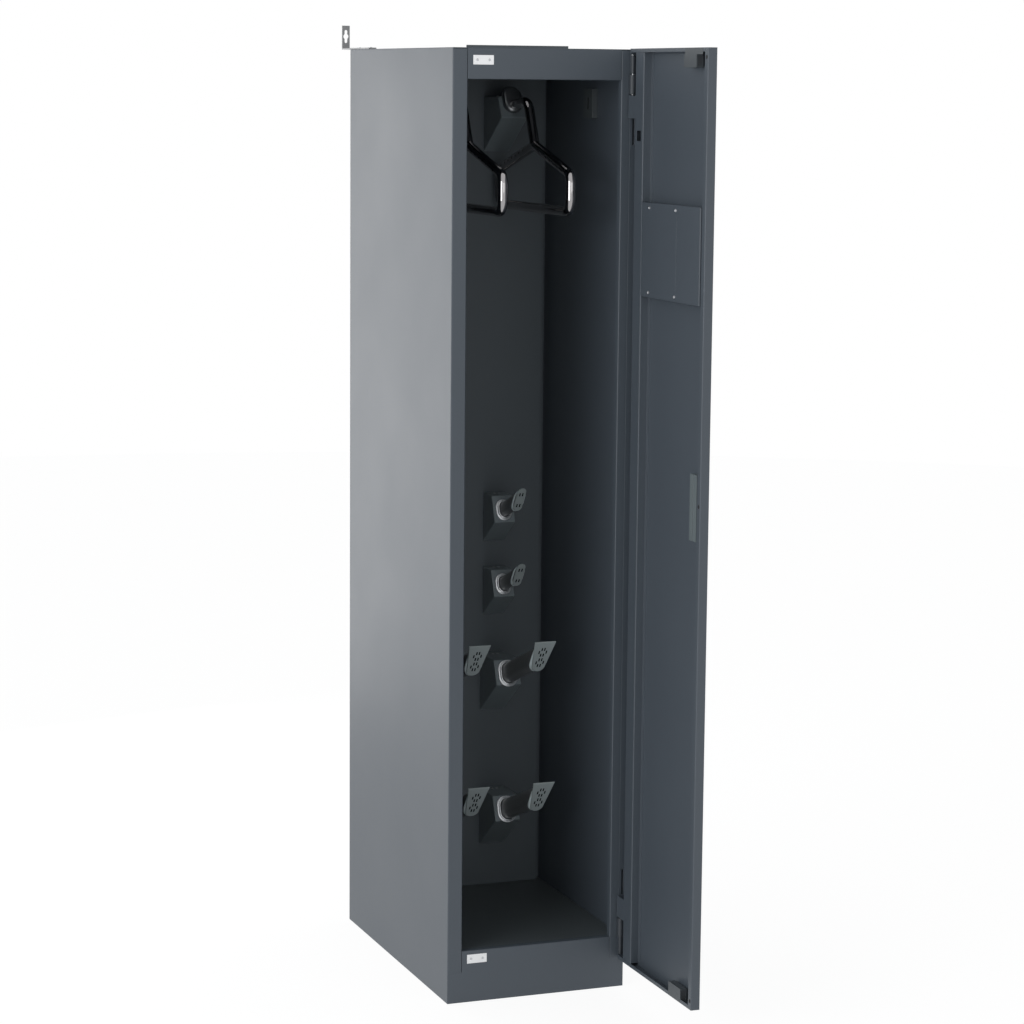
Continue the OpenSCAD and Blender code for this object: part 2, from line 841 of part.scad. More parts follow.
module hanger(side) {
    color(black) translate([side * column_x, 0, 0]) difference() {
        union() {
            swept_tube(loop_places, hanger_r, true);
            swept_tube(neck_places, hanger_r, false);
        }
        for (end = [hanger_loop[1][0], hanger_loop[4][0]], i = [1:hanger_holes]) {
            p = hanger_peak + (end - hanger_peak) * (0.12 + 0.72 * i / hanger_holes);
            translate([0, p[0], p[1]]) rotate([0, 90, 0])
                cylinder(r = air_hole_r, h = 3 * hanger_r, center = true, $fn = 8);
        }
    }
}

module hanger_left() { hanger(-1); }
module hanger_right() { hanger(1); }

// The passage of a hanger's neck through its hub and its duct's front
module neck_hole(side) {
    translate([side * column_x, neck_start[0], neck_start[1]]) rotate([90 - neck_tilt, 0, 0])
        cylinder(r = hanger_r + tube_gap, h = 8 * hub_t, center = true);
}

module hanger_hubs() {
    color(black) for (side = [-1, 1]) {
        difference() {
            on_front(hanger_kind, hanger_tip_z, hub_up, side)
                linear_extrude(height = hub_t) stadium(hub_w, hub_h);
            neck_hole(side);
        }
    }
}

// ---------------------------------------------------------------- hinges

fixed_clear = 0.02;
knuckle_z = [door_z + knuckle_low, door_top_z - knuckle_high - knuckle_l];

// Its children at the hinge axis
module at_pivot() {
    translate([pivot[0], pivot[1], 0]) children();
}

foot_left = 5.5;

module hinge_knuckles() {
    color(paint) for (z = knuckle_z) {
        difference() {
            union() {
                at_pivot() translate([0, 0, z]) cylinder(r = knuckle_r, h = knuckle_l);
                span([pivot[0] - foot_left, pivot[1], z],
                    [pivot[0] + foot_left, front_y, z + knuckle_l]);
            }
            at_pivot() translate([0, 0, z - 1]) cylinder(r = pin_r + fixed_clear, h = knuckle_l + 2);
        }
    }
}

pin_head_r = 4.6;
pin_head_h = 2;
pin_seat_gap = 0.3;

module hinge_pins() {
    color(steel) for (z = knuckle_z) {
        low = z - knuckle_gap - leaf_l;
        high = z + knuckle_l + knuckle_gap + leaf_l + pin_seat_gap;
        at_pivot() translate([0, 0, low]) cylinder(r = pin_r, h = high - low);
        at_pivot() translate([0, 0, high]) cylinder(r = pin_head_r, h = pin_head_h);
    }
}

leaf_t = 6;

// One of the door's knuckles, with its web to the door's skin
module leaf(z) {
    difference() {
        union() {
            at_pivot() translate([0, 0, z]) cylinder(r = leaf_r, h = leaf_l);
            span([pivot[0], pivot[1] - leaf_t / 2, z], [skin_x, pivot[1] + leaf_t / 2, z + leaf_l]);
        }
        at_pivot() translate([0, 0, z - 1]) cylinder(r = pin_r + pin_clear, h = leaf_l + 2);
    }
}

module hinge_leaves() {
    color(paint) for (z = knuckle_z) {
        leaf(z - knuckle_gap - leaf_l);
        leaf(z + knuckle_l + knuckle_gap);
    }
}

slot_x = right_x - 4.7;

// A slot through the door's fold and the stile, from height z upwards
module hinge_slot(z) {
    span([slot_x - hinge_slot_w / 2, door_hinge_y - 2, z],
        [slot_x + hinge_slot_w / 2, front_y + 2 * sheet, z + hinge_slot_l]);
}

// The slots run on from the ears, away from the fixed knuckles
module hinge_slots() {
    hinge_slot(knuckle_z[0] + knuckle_l + ear_gap + ear_h);
    hinge_slot(knuckle_z[1] - ear_gap - ear_h - hinge_slot_l);
}

// ---------------------------------------------------------------- door

notch_side = 2;
ear_gap = 3;
ear_reach = 3.4;
lip_start_y = pivot[1] - 3;
fold_x = door_out_x - hinge_fold_d;

// The plan of the door's top and bottom flanges, clear of the hinge axis' sweep
module end_flange_plan() {
    polygon([
        [door_out_x, door_hinge_y],
        [fold_x, door_hinge_y],
        [fold_x, pivot[1] - 0.5],
        [door_in_x, lip_start_y],
        [door_in_x, door_free_y],
        [door_out_x, door_free_y]
    ]);
}

magnet_y = door_free_y + magnet_in;
magnet_top_z = door_top_z - 38.5;
tab_side = 29;
tab_len = 84;
tab_y = door_free_y + tab_side - 3.5;
control_y = door_hinge_y - control_in;
control_z = cover_z + cover_h / 2 - 0.5;
knob_y = control_y + 35;
button_y = control_y - 30;
handle_y = door_free_y + free_lip_w + 6.5;
magnet_fit = 0.3;

// The control shafts' holes through the door's sheets and panel
module control_holes(knob_hole_r, button_hole_r) {
    for (hole = [[knob_y, knob_hole_r], [button_y, button_hole_r]]) {
        translate([door_out_x, hole[0], control_z]) rotate([0, 90, 0])
            cylinder(r = hole[1], h = 4 * panel_t, center = true);
    }
}

module door_skin() {
    color(paint) difference() {
        union() {
            span([skin_x, door_free_y, door_z], [door_out_x, door_hinge_y, door_top_z]);
            span([fold_x, door_hinge_y - door_sheet, door_z],
                [door_out_x, door_hinge_y, door_top_z]);
            span([door_in_x, door_free_y, door_z],
                [door_out_x, door_free_y + door_sheet, door_top_z]);
            span([door_in_x, door_free_y, door_z],
                [door_in_x + door_sheet, door_free_y + free_lip_w, door_top_z]);
            for (z = [door_z, door_top_z - door_sheet]) {
                translate([0, 0, z]) linear_extrude(height = door_sheet) end_flange_plan();
            }
            for (z = [door_z, door_top_z - end_lip_w]) {
                span([door_in_x, door_free_y, z],
                    [door_in_x + door_sheet, lip_start_y, z + end_lip_w]);
            }
        }
        for (z = knuckle_z) {
            span([fold_x - 1, door_hinge_y - 2, z - notch_side],
                [pivot[0] + foot_left + 1.5, door_hinge_y + 1, z + knuckle_l + notch_side]);
        }
        span([skin_x - 1, handle_y, handle_z],
            [door_out_x + 1, handle_y + handle_w, handle_z + handle_h]);
        span([door_in_x - 1, tab_y - magnet_fit, door_top_z - end_lip_w - 1],
            [door_in_x + door_sheet + 1, tab_y + tab_len + magnet_fit, door_top_z - door_sheet]);
        span([door_in_x - 1, magnet_y - magnet_fit, door_z + door_sheet],
            [door_in_x + door_sheet + 1, magnet_y + magnet_w + magnet_fit,
                door_z + end_lip_w + 1]);
        control_holes(timer_shaft_r + 1, button_r + 0.5);
        hinge_slots();
    }
}

module door_channel() {
    low = door_z + end_lip_w + 0.3;
    high = door_top_z - end_lip_w - 0.3;
    far_y = channel_y - channel_w;
    color(paint) difference() {
        union() {
            span([door_in_x, far_y, low], [door_in_x + door_sheet, channel_y, high]);
            span([door_in_x, channel_y - door_sheet, low], [skin_x, channel_y, high]);
            span([door_in_x, far_y, low], [skin_x, far_y + door_sheet, high]);
            span([skin_x - door_sheet, far_y - channel_foot, low], [skin_x, far_y + eps, high]);
            for (z = [knuckle_z[0] + knuckle_l + ear_gap, knuckle_z[1] - ear_gap - ear_h]) {
                span([door_in_x, channel_y - eps, z],
                    [door_in_x + door_sheet, pivot[1] + ear_reach, z + ear_h]);
            }
        }
        translate([door_in_x, channel_y - channel_w / 2,
            door_top_z - cable_hole_drop + cable_hole / 2])
            cube([4 * door_sheet, cable_hole, cable_hole], center = true);
    }
}

cover_end_y = cover_y - cover_w;
cover_side_in = 10.5;
crease_in = 176;
cover_screw_y = [40, 171];
cover_screw_edge = 10.5;
cover_screw_r = 2;

// The places of the cover's screws in Y and Z
cover_screw_at = [for (y = cover_screw_y, z = [cover_screw_edge, cover_h - cover_screw_edge])
    [cover_y - y, cover_z + z]];

module door_cover() {
    top = cover_z + cover_h;
    side_y = cover_y - cover_side_in;
    color(paint) difference() {
        union() {
            span([door_in_x, cover_end_y, cover_z], [door_in_x + door_sheet, cover_y, top]);
            span([door_in_x, cover_end_y, cover_z], [skin_x, cover_end_y + door_sheet, top]);
            span([door_in_x, cover_end_y, cover_z], [skin_x, side_y, cover_z + door_sheet]);
            span([door_in_x, cover_end_y, top - door_sheet], [skin_x, side_y, top]);
        }
        span([door_in_x - 1, cover_y - crease_in - 1, cover_z + 22],
            [door_in_x + 0.4, cover_y - crease_in + 1, top - 22]);
        for (p = cover_screw_at) {
            translate([door_in_x, p[0], p[1]]) rotate([0, 90, 0])
                cylinder(r = cover_screw_r + 0.3, h = 4, center = true);
        }
    }
}

screw_head_r = 3.6;
screw_head_h = 1.8;
screw_l = 10;

module cover_screws() {
    color(steel) for (p = cover_screw_at) {
        translate([door_in_x - screw_head_h, p[0], p[1]]) rotate([0, 90, 0]) {
            cylinder(r = screw_head_r, h = screw_head_h);
            cylinder(r = cover_screw_r, h = screw_l);
        }
    }
}

post_r = 5;
unit_far = 55;
unit_near = 62;
unit_half_h = 50;
unit_wall_x = 9;

// The control unit: a base plate with screw posts and the electronics' housing
module control_unit() {
    base_x = skin_x - door_sheet;
    unit_x = door_in_x + 4;
    color(black) difference() {
        union() {
            span([base_x, cover_y - crease_in - 2, cover_z + 3],
                [skin_x, cover_y - cover_screw_y[0] + 12, cover_z + cover_h - 3]);
            for (p = cover_screw_at) {
                translate([door_in_x + door_sheet, p[0], p[1]]) rotate([0, 90, 0])
                    cylinder(r = post_r, h = base_x - door_in_x - door_sheet + eps);
            }
            span([unit_x, control_y - unit_far, control_z - unit_half_h],
                [base_x + eps, control_y + unit_near, control_z + unit_half_h]);
        }
        for (p = cover_screw_at) {
            translate([door_in_x, p[0], p[1]]) rotate([0, 90, 0])
                cylinder(r = cover_screw_r + 0.05, h = screw_l);
        }
        for (hole = [[knob_y, timer_shaft_r], [button_y, stem_r]]) {
            translate([unit_x + 3, hole[0], control_z]) rotate([0, 90, 0])
                cylinder(r = hole[1] + control_clear, h = door_d);
        }
        translate([base_x - button_travel, button_y, control_z]) rotate([0, 90, 0])
            cylinder(r = button_r + 0.5, h = 10);
    }
}

panel_corner_r = 8;

module control_panel() {
    color(black) difference() {
        translate([door_out_x, control_y, control_z]) rotate([90, 0, 90])
            linear_extrude(height = panel_t) round_rect(panel_w, panel_h, panel_corner_r);
        control_holes(timer_shaft_r + control_clear, button_r + control_clear);
    }
}

panel_face_x = door_out_x + panel_t;
knob_gap = 0.5;
knob_flutes = 24;
flute_r = 1.2;

module timer_knob() {
    shaft_l = door_d - 4 - 3 - 1 + panel_t + knob_gap;
    color(grey) translate([panel_face_x + knob_gap, knob_y, control_z]) rotate([0, 90, 0]) {
        difference() {
            union() {
                cylinder(r = knob_r, h = 4);
                cylinder(r = knob_r - 3, h = knob_h);
            }
            for (i = [0:knob_flutes - 1]) {
                rotate([0, 0, i * 360 / knob_flutes]) translate([knob_r - 2.6, 0, 4.5])
                    cylinder(r = flute_r, h = knob_h);
            }
            translate([-knob_r, -0.8, knob_h - 1]) cube([knob_r - 3, 1.6, 3]);
        }
        translate([0, 0, -shaft_l]) cylinder(r = timer_shaft_r, h = shaft_l + 1);
    }
}

stem_r = 2.5;
button_proud = 3;

module start_button() {
    cap_x = panel_face_x - panel_t + 0.5;
    cap_h = panel_t - 0.5 + button_proud;
    stem_l = 6;
    color(white) translate([cap_x, button_y, control_z]) rotate([0, 90, 0]) {
        cylinder(r = button_r, h = cap_h - 1);
        translate([0, 0, cap_h - 1]) cylinder(r1 = button_r, r2 = button_r - 1, h = 1);
        translate([0, 0, -stem_l]) cylinder(r = stem_r, h = stem_l + 1);
    }
}

bezel_t = 1.5;
bezel_band = 5;
rib_w = 13;

// A recessed pull: pan, bezel on the door's face and a finger lip over half the pan
module pull_handle() {
    z1 = handle_z + handle_h;
    y1 = handle_y + handle_w;
    back_x = door_out_x - handle_d - 1;
    color(grey) {
        difference() {
            union() {
                span([back_x, handle_y, handle_z], [door_out_x + eps, y1, z1]);
                span([door_out_x, handle_y - bezel_band, handle_z - bezel_band],
                    [door_out_x + bezel_t, y1 + bezel_band, z1 + bezel_band]);
                for (y = [handle_y, y1 - rib_w]) {
                    span([back_x - bezel_t, y, handle_z], [back_x + eps, y + rib_w, z1]);
                }
            }
            span([back_x + handle_wall, handle_y + handle_wall, handle_z + handle_wall],
                [door_out_x - bezel_t, y1 - handle_wall, z1 - handle_wall]);
            span([door_out_x - 2 * bezel_t, handle_y + finger_lip, handle_z + handle_wall],
                [door_out_x + 2 * bezel_t, y1 - handle_wall, z1 - handle_wall]);
        }
    }
}

// A magnet catch's housing, with a pocket that opens to the free edge
module catch_box(z0, z1) {
    x1 = door_in_x + magnet_d;
    difference() {
        span([door_in_x, magnet_y, z0], [x1, magnet_y + magnet_w, z1]);
        span([door_in_x + 3, magnet_y - 1, z0 + 4], [x1 - 2.5, magnet_y + magnet_w * 0.6, z1 - 4]);
    }
    span([door_in_x + 5, magnet_y + 6, z0 + 3], [door_in_x + 9, magnet_y + magnet_w * 0.7, z1 - 3]);
}

module magnet_catches() {
    top = magnet_top_z + magnet_h;
    color(grey) {
        catch_box(magnet_top_z, top);
        span([door_in_x, tab_y, top - eps],
            [door_in_x + door_sheet, tab_y + tab_len, door_top_z - door_sheet]);
        catch_box(door_z + door_sheet, door_z + door_sheet + magnet_h + 2.5);
    }
}

buffer_r = 4;
buffer_t = 0.6;
buffer_z = [door_z + 18, handle_z + 73, door_top_z - 18.5];

module door_buffers() {
    color(black) for (z = buffer_z) {
        translate([door_in_x - buffer_t, door_free_y + 6.5, z]) rotate([0, 90, 0])
            cylinder(r = buffer_r, h = buffer_t);
    }
}

strike_x = left_x + 43.5 + strike_w / 2;
strike_mid_z = [sill_h - 18, body_h - 24.5];
rivet_dx = 13;
rivet_r = 2.4;

module strike_plates() {
    color(white) for (z = strike_mid_z) {
        difference() {
            span([strike_x - strike_w / 2, front_y - strike_t, z - strike_h / 2],
                [strike_x + strike_w / 2, front_y, z + strike_h / 2]);
            for (s = [-1, 1]) {
                translate([strike_x + s * rivet_dx, front_y, z]) rotate([90, 0, 0])
                    cylinder(r = rivet_r + 0.2, h = 4, center = true);
            }
        }
    }
}

module strike_rivets() {
    color(paint_dark) for (z = strike_mid_z, s = [-1, 1]) {
        translate([strike_x + s * rivet_dx, front_y, z]) rotate([90, 0, 0])
            cylinder(r = rivet_r, h = strike_t);
    }
}

// ---------------------------------------------------------------- roof fittings

vent_slots = 11;
vent_slot_pitch = 11;
vent_slot_w = 5;

// A slotted plate over the roof's air outlet, with its front edge folded up
module roof_vent_cover() {
    slot_l = 2 * vent_hole_r - 20;
    vent_front_y = vent_y - vent_w / 2;
    color(paint) difference() {
        union() {
            span([-vent_w / 2, vent_front_y, body_h],
                [vent_w / 2, vent_front_y + vent_w, body_h + sheet]);
            span([-vent_w / 2, vent_front_y, body_h],
                [vent_w / 2, vent_front_y + sheet, body_h + vent_h]);
        }
        for (i = [0:vent_slots - 1]) {
            y = vent_y + (i - (vent_slots - 1) / 2) * vent_slot_pitch;
            translate([0, y, body_h]) cube([slot_l, vent_slot_w, 4 * sheet], center = true);
        }
    }
}

bracket_x = left_x + 0.5 + bracket_w / 2;
bracket_back_y = back_y + bracket_out;
keyhole_mid_z = body_h + keyhole_z;

module wall_bracket() {
    color(steel) difference() {
        union() {
            span([bracket_x - bracket_w / 2, back_y - bracket_on_roof, body_h],
                [bracket_x + bracket_w / 2, bracket_back_y, body_h + bracket_t]);
            span([bracket_x - bracket_w / 2, bracket_back_y - bracket_t, body_h],
                [bracket_x + bracket_w / 2, bracket_back_y, body_h + bracket_h]);
        }
        translate([bracket_x, bracket_back_y, keyhole_mid_z]) rotate([90, 0, 0]) {
            cylinder(r = keyhole_r, h = 4 * bracket_t, center = true);
            linear_extrude(height = 4 * bracket_t, center = true)
                stadium(keyhole_slot_w, keyhole_slot_l);
        }
    }
}

bracket_screw_at = [18, 96];

module bracket_screws() {
    color(steel) for (d = bracket_screw_at) {
        translate([bracket_x, back_y - bracket_on_roof + d, body_h + bracket_t])
            cylinder(r = 4.5, h = 1.2);
    }
}

module sensor_cover() {
    x1 = right_x - sheet;
    x0 = x1 - sensor_size[0];
    y0 = front_y + sensor_front_d;
    sensor_z = body_h - sensor_drop;
    wall = 1.5;
    color(paint_dark) difference() {
        span([x0, y0, sensor_z], [x1, y0 + sensor_size[1], sensor_z + sensor_size[2]]);
        span([x0 + wall, y0 + wall, sensor_z + wall],
            [x1 + 1, y0 + sensor_size[1] - wall, sensor_z + sensor_size[2] - wall]);
        translate([x0, y0 + sensor_size[1] / 2, sensor_z + sensor_size[2] / 2])
            cube([4 * wall, 4.5, 25], center = true);
    }
}

// ---------------------------------------------------------------- fan and heater

fan_front_y = wall_y + sheet + fan_off;
fan_back_y = fan_front_y + fan_d;
outlet_z = fan_z - outlet_drop;
leg_r = 5;
leg_at = 60;

// Its children turned so that local Z points to the back, at the fan's axis
module at_fan(y) {
    translate([0, y, fan_z]) rotate([-90, 0, 0]) children();
}

module fan_housing() {
    color(grey) difference() {
        union() {
            at_fan(fan_front_y) cylinder(r = fan_r, h = fan_d);
            span([fan_r - outlet_w, fan_front_y, outlet_z], [fan_r, fan_back_y, fan_z]);
            for (sx = [-1, 1], sz = [-1, 1]) {
                translate([sx * leg_at, fan_front_y + eps, fan_z + sz * leg_at])
                    rotate([90, 0, 0]) cylinder(r = leg_r, h = fan_off + eps);
            }
        }
        at_fan(fan_front_y + fan_wall) cylinder(r = fan_r - fan_wall, h = fan_d - 2 * fan_wall);
        span([fan_r - outlet_w + fan_wall, fan_front_y + fan_wall, outlet_z - 1],
            [fan_r - fan_wall, fan_back_y - fan_wall, fan_z]);
        at_fan(fan_back_y - 5) cylinder(r = blade_in_r, h = 10);
        at_fan(fan_front_y - 5) cylinder(r = 3 * fan_shaft_r, h = 10);
    }
}

blade_t = 1.4;
blade_side_gap = 5;
hub_r = 14;
back_plate_t = 3;

blade_steps = 4;
blade_turn = 62;

// One forward-curved blade: a band along an arc from the inner to the outer radius
module blade_plan() {
    chord = impeller_r - blade_in_r - 1;
    arc_r = chord / (2 * sin(blade_turn / 2));
    mid_y = arc_r * cos(blade_turn / 2);
    angles = [for (i = [0:blade_steps]) 90 + blade_turn * (0.5 - i / blade_steps)];
    translate([blade_in_r + 0.5 + chord / 2, -mid_y]) polygon(concat(
        [for (a = angles) arc_r * [-cos(a), sin(a)]],
        [for (i = [blade_steps:-1:0]) (arc_r - blade_t) * [-cos(angles[i]), sin(angles[i])]]
    ));
}

module impeller() {
    blade_h = fan_d - 2 * fan_wall - 2 * blade_side_gap;
    color(black) at_fan(fan_front_y + fan_wall + blade_side_gap) {
        cylinder(r = impeller_r, h = back_plate_t);
        cylinder(r = hub_r, h = blade_h / 2);
        for (i = [0:blades - 1]) {
            rotate([0, 0, i * 360 / blades]) linear_extrude(height = blade_h) blade_plan();
        }
        translate([0, 0, blade_h - back_plate_t]) difference() {
            cylinder(r = impeller_r, h = back_plate_t);
            translate([0, 0, -1]) cylinder(r = blade_in_r + 4, h = back_plate_t + 2);
        }
        translate([0, 0, -fan_wall - blade_side_gap - shaft_in])
            cylinder(r = fan_shaft_r, h = fan_wall + blade_side_gap + shaft_in + 1);
    }
}

shaft_in = 24;
motor_l = 40;

module fan_motor() {
    color(steel) difference() {
        at_fan(fan_front_y - motor_l) {
            cylinder(r = motor_r, h = motor_l - 3);
            cylinder(r = motor_r + 5, h = 4);
            cylinder(r = 3 * fan_shaft_r - 1, h = motor_l);
            translate([0, 0, motor_l - 8]) cylinder(r = motor_r - 8, h = 8);
        }
        at_fan(fan_front_y - shaft_in - 2)
            cylinder(r = fan_shaft_r + shaft_clear, h = shaft_in + 10);
    }
}

heater_rods = 3;
heater_fins = 9;
rod_r = 4;
fin_t = 0.8;

module heater() {
    x0 = fan_r - outlet_w;
    z0 = outlet_z - heater_h;
    inner_w = outlet_w - 2 * fan_wall;
    rod_y = fan_front_y + fan_d / 2;
    color(steel) {
        difference() {
            span([x0, fan_front_y, z0], [fan_r, fan_back_y, outlet_z]);
            span([x0 + fan_wall, fan_front_y + fan_wall, z0 - 1],
                [fan_r - fan_wall, fan_back_y - fan_wall, outlet_z + 1]);
        }
        for (i = [0:heater_rods - 1]) {
            translate([x0 + eps, rod_y, z0 + heater_h * (i + 0.7) / (heater_rods + 0.4)])
                rotate([0, 90, 0]) cylinder(r = rod_r, h = outlet_w - 2 * eps);
        }
        for (i = [1:heater_fins]) {
            translate([x0 + fan_wall + inner_w * i / (heater_fins + 1), rod_y,
                z0 + heater_h / 2])
                cube([fin_t, 30, heater_h - 12], center = true);
        }
    }
}

module thermostat() {
    color(black) translate([fan_r, fan_front_y + fan_d / 2, outlet_z - heater_h / 2])
        rotate([0, 90, 0]) {
            cylinder(r = 10, h = 6);
            cylinder(r = 7, h = 10);
        }
}

filter_frame = 10;

module air_filter() {
    y0 = panel_y - filter_t;
    color(white) {
        difference() {
            span([-filter_w / 2, y0, fan_z - filter_w / 2],
                [filter_w / 2, panel_y, fan_z + filter_w / 2]);
            span([-filter_w / 2 + filter_frame, y0 - 1, fan_z - filter_w / 2 + filter_frame],
                [filter_w / 2 - filter_frame, panel_y + 1, fan_z + filter_w / 2 - filter_frame]);
        }
        span([-filter_w / 2 + 1, y0 + 4, fan_z - filter_w / 2 + 1],
            [filter_w / 2 - 1, panel_y - 3, fan_z + filter_w / 2 - 1]);
    }
}

side_left();
side_right();
roof();
base_tray();
floor_pan();
rear_panel();
top_rail();
plinth();
air_wall();
roof_vent_cover();
wall_bracket();
bracket_screws();
sensor_cover();
strike_plates();
strike_rivets();
hinge_knuckles();
hinge_pins();
fan_housing();
impeller();
fan_motor();
heater();
thermostat();
air_filter();
hanger_duct_left();
hanger_duct_right();
glove_duct_upper_left();
glove_duct_upper_right();
glove_duct_lower_left();
glove_duct_lower_right();
boot_duct_upper_left();
boot_duct_upper_right();
boot_duct_lower_left();
boot_duct_lower_right();
glove_arm_upper_left();
glove_arm_upper_right();
glove_arm_lower_left();
glove_arm_lower_right();
boot_arm_upper_left();
boot_arm_upper_right();
boot_arm_lower_left();
boot_arm_lower_right();
hanger_left();
hanger_right();
hanger_hubs();
ring_collars();
glove_tips();
boot_tips();
duct_screws();
door_skin();
door_channel();
hinge_leaves();
door_cover();
cover_screws();
pull_handle();
magnet_catches();
door_buffers();
control_panel();
control_unit();
timer_knob();
start_button();
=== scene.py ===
"""Looks of a steel drying cabinet: finishes, rounded folds, tubes, collars and fittings."""

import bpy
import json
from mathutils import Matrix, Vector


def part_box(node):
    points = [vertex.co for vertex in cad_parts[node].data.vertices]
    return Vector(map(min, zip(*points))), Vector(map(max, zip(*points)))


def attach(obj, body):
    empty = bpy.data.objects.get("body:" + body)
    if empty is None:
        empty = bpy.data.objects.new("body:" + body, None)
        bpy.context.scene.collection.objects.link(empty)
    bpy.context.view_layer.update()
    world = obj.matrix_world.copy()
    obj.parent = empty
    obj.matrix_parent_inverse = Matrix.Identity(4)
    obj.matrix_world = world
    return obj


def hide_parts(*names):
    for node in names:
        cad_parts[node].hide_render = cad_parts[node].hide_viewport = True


bl_info = {
    "name": "Drying cabinet looks",
    "version": (1, 0, 0),
    "blender": (4, 5, 0),
    "location": "View3D > Sidebar > Cabinet",
    "description": "Dresses the drying cabinet's frame with finishes and fittings",
    "category": "Object",
}

import json
import math

import bmesh
import bpy
import numpy as np
from bpy.props import FloatProperty, FloatVectorProperty, IntProperty, PointerProperty
from bpy.types import Operator, Panel, PropertyGroup
from mathutils import Matrix, Vector
from mathutils.geometry import delaunay_2d_cdt

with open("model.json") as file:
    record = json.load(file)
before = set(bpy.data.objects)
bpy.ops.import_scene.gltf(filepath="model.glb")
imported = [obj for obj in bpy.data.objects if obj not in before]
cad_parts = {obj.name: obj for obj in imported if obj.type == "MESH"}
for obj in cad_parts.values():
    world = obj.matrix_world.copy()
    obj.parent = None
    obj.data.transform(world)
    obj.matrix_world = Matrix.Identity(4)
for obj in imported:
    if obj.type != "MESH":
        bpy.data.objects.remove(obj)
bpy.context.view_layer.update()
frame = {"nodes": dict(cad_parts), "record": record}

MM = 0.001
NODE_BODY = {
    node: body for body, nodes in frame["record"]["behaviour"]["bodies"].items() for node in nodes
}

# The camera stands where the photograph's camera stood, in the frame's metres
CAMERA_AT = (-2.2201, -6.0092, 1.9225)
CAMERA_YAW = math.radians(20.82)
CAMERA_PITCH = math.radians(8.27)
CAMERA_ROLL = math.radians(0.52)
CAMERA_LENS_MM = 104.1
CAMERA_SENSOR_MM = 36.0

# The ducts' and arms' angles, and the heights of the ducts' corners over their lowest points
ARM_RISE = math.radians(20.7)
TIP_LEAN = math.radians(34.5)
HUB_LEAN = math.radians(28.0)
GLOVE_CORNER_RISE = 51.5 * MM
BOOT_CORNER_RISE = 77.0 * MM
HANGER_CORNER_RISE = 75.5 * MM

# How far up its duct's front a hanger's hub sits
HUB_UP = 41.0 * MM

# A hinge pin with its head, through three knuckles and their gaps
PIN_LENGTH = 120.3 * MM

# Faces that meet at more than this keep a sharp edge: on the solids, and on new pieces
SHARP_ANGLE = math.radians(30.0)
SMOOTH_ANGLE = math.radians(35.0)

# A fold is longer, and its faces are wider, than this
FOLD_LEAST = 3.0 * MM

# Air holes along each shoulder of a hanger, and their radius
HANGER_HOLES = 7
AIR_HOLE_R = 2.2 * MM

SIDES = ("left", "right")
ROWS = ("upper", "lower")

# Each kind of arm: tube width, tube height, length, distance up the duct's front, corner rise
ARM_KINDS = {
    "glove": (22.0 * MM, 32.0 * MM, 105.0 * MM, 28.0 * MM, GLOVE_CORNER_RISE),
    "boot": (30.0 * MM, 45.0 * MM, 216.0 * MM, 26.0 * MM, BOOT_CORNER_RISE),
}
ARMS = [(kind, row, side) for kind in ARM_KINDS for row in ROWS for side in SIDES]
DUCTS = ["hanger_duct_" + side for side in SIDES]
DUCTS += [f"{kind}_duct_{row}_{side}" for kind, row, side in ARMS]

# The end plates' thickness, their slots' size and the middles of each kind's slots
PLATE_THICK = 2.5 * MM
SLOT_WIDTH = 3.1 * MM
SLOT_LENGTH = 9.4 * MM
PLATE_SLOTS = {
    "glove": [(x * MM, y * MM) for x in (-3.3, 3.3) for y in (-16.5, 15.5)],
    "boot": [(x * MM, (middle + y) * MM) for middle in (14.4, -17.1)
             for x, y in ((-3, 8.7), (3, 8.7), (-8.2, 0), (8.2, 0), (-3, -8.7), (3, -8.7))],
}

# How far each kind's rim stands out at the tube's sides
RIM_SIDE = {"glove": 2.0 * MM, "boot": 4.5 * MM}


# ---------------------------------------------------------------- settings


class CabinetPaint(PropertyGroup):
    """Colours and gloss of the cabinet's finishes, as linear values."""

    body: FloatVectorProperty(
        name="Body paint", description="Powder coat of the body and the door",
        default=(0.0625, 0.0770, 0.0940), subtype="COLOR", min=0.0, max=1.0)
    # The inner paint is the body's coat made lighter: painted light
    inner: FloatVectorProperty(
        name="Inner paint", description="Powder coat of the inside",
        default=(0.088, 0.106, 0.120), subtype="COLOR", min=0.0, max=1.0)
    tube: FloatVectorProperty(
        name="Dark tube", description="Arms' tubes",
        default=(0.120, 0.127, 0.134), subtype="COLOR", min=0.0, max=1.0)
    duct: FloatVectorProperty(
        name="Duct paint", description="Powder coat of the ducts",
        default=(0.190, 0.225, 0.243), subtype="COLOR", min=0.0, max=1.0)
    chrome: FloatVectorProperty(
        name="Dark chrome", description="Plating of the hangers' tubes",
        default=(0.34, 0.33, 0.335), subtype="COLOR", min=0.0, max=1.0)
    silver: FloatVectorProperty(
        name="Silver", description="Collars on the ducts",
        default=(0.72, 0.74, 0.76), subtype="COLOR", min=0.0, max=1.0)
    plate: FloatVectorProperty(
        name="Grey plates", description="End plates of the arms",
        default=(0.30, 0.345, 0.352), subtype="COLOR", min=0.0, max=1.0)
    white: FloatVectorProperty(
        name="White", description="Strike plates, the start button and the panel's marks",
        default=(0.93, 0.94, 0.95), subtype="COLOR", min=0.0, max=1.0)
    zinc: FloatVectorProperty(
        name="Zinc", description="Pins, screws, rivets, the fan's housing and motor, and the heater",
        default=(0.56, 0.57, 0.59), subtype="COLOR", min=0.0, max=1.0)
    roughness: FloatProperty(
        name="Paint roughness", description="Roughness of the powder coat",
        default=0.45, min=0.05, max=1.0)
    peel: FloatProperty(
        name="Orange peel", description="Strength of the powder coat's texture",
        default=0.10, min=0.0, max=1.0)


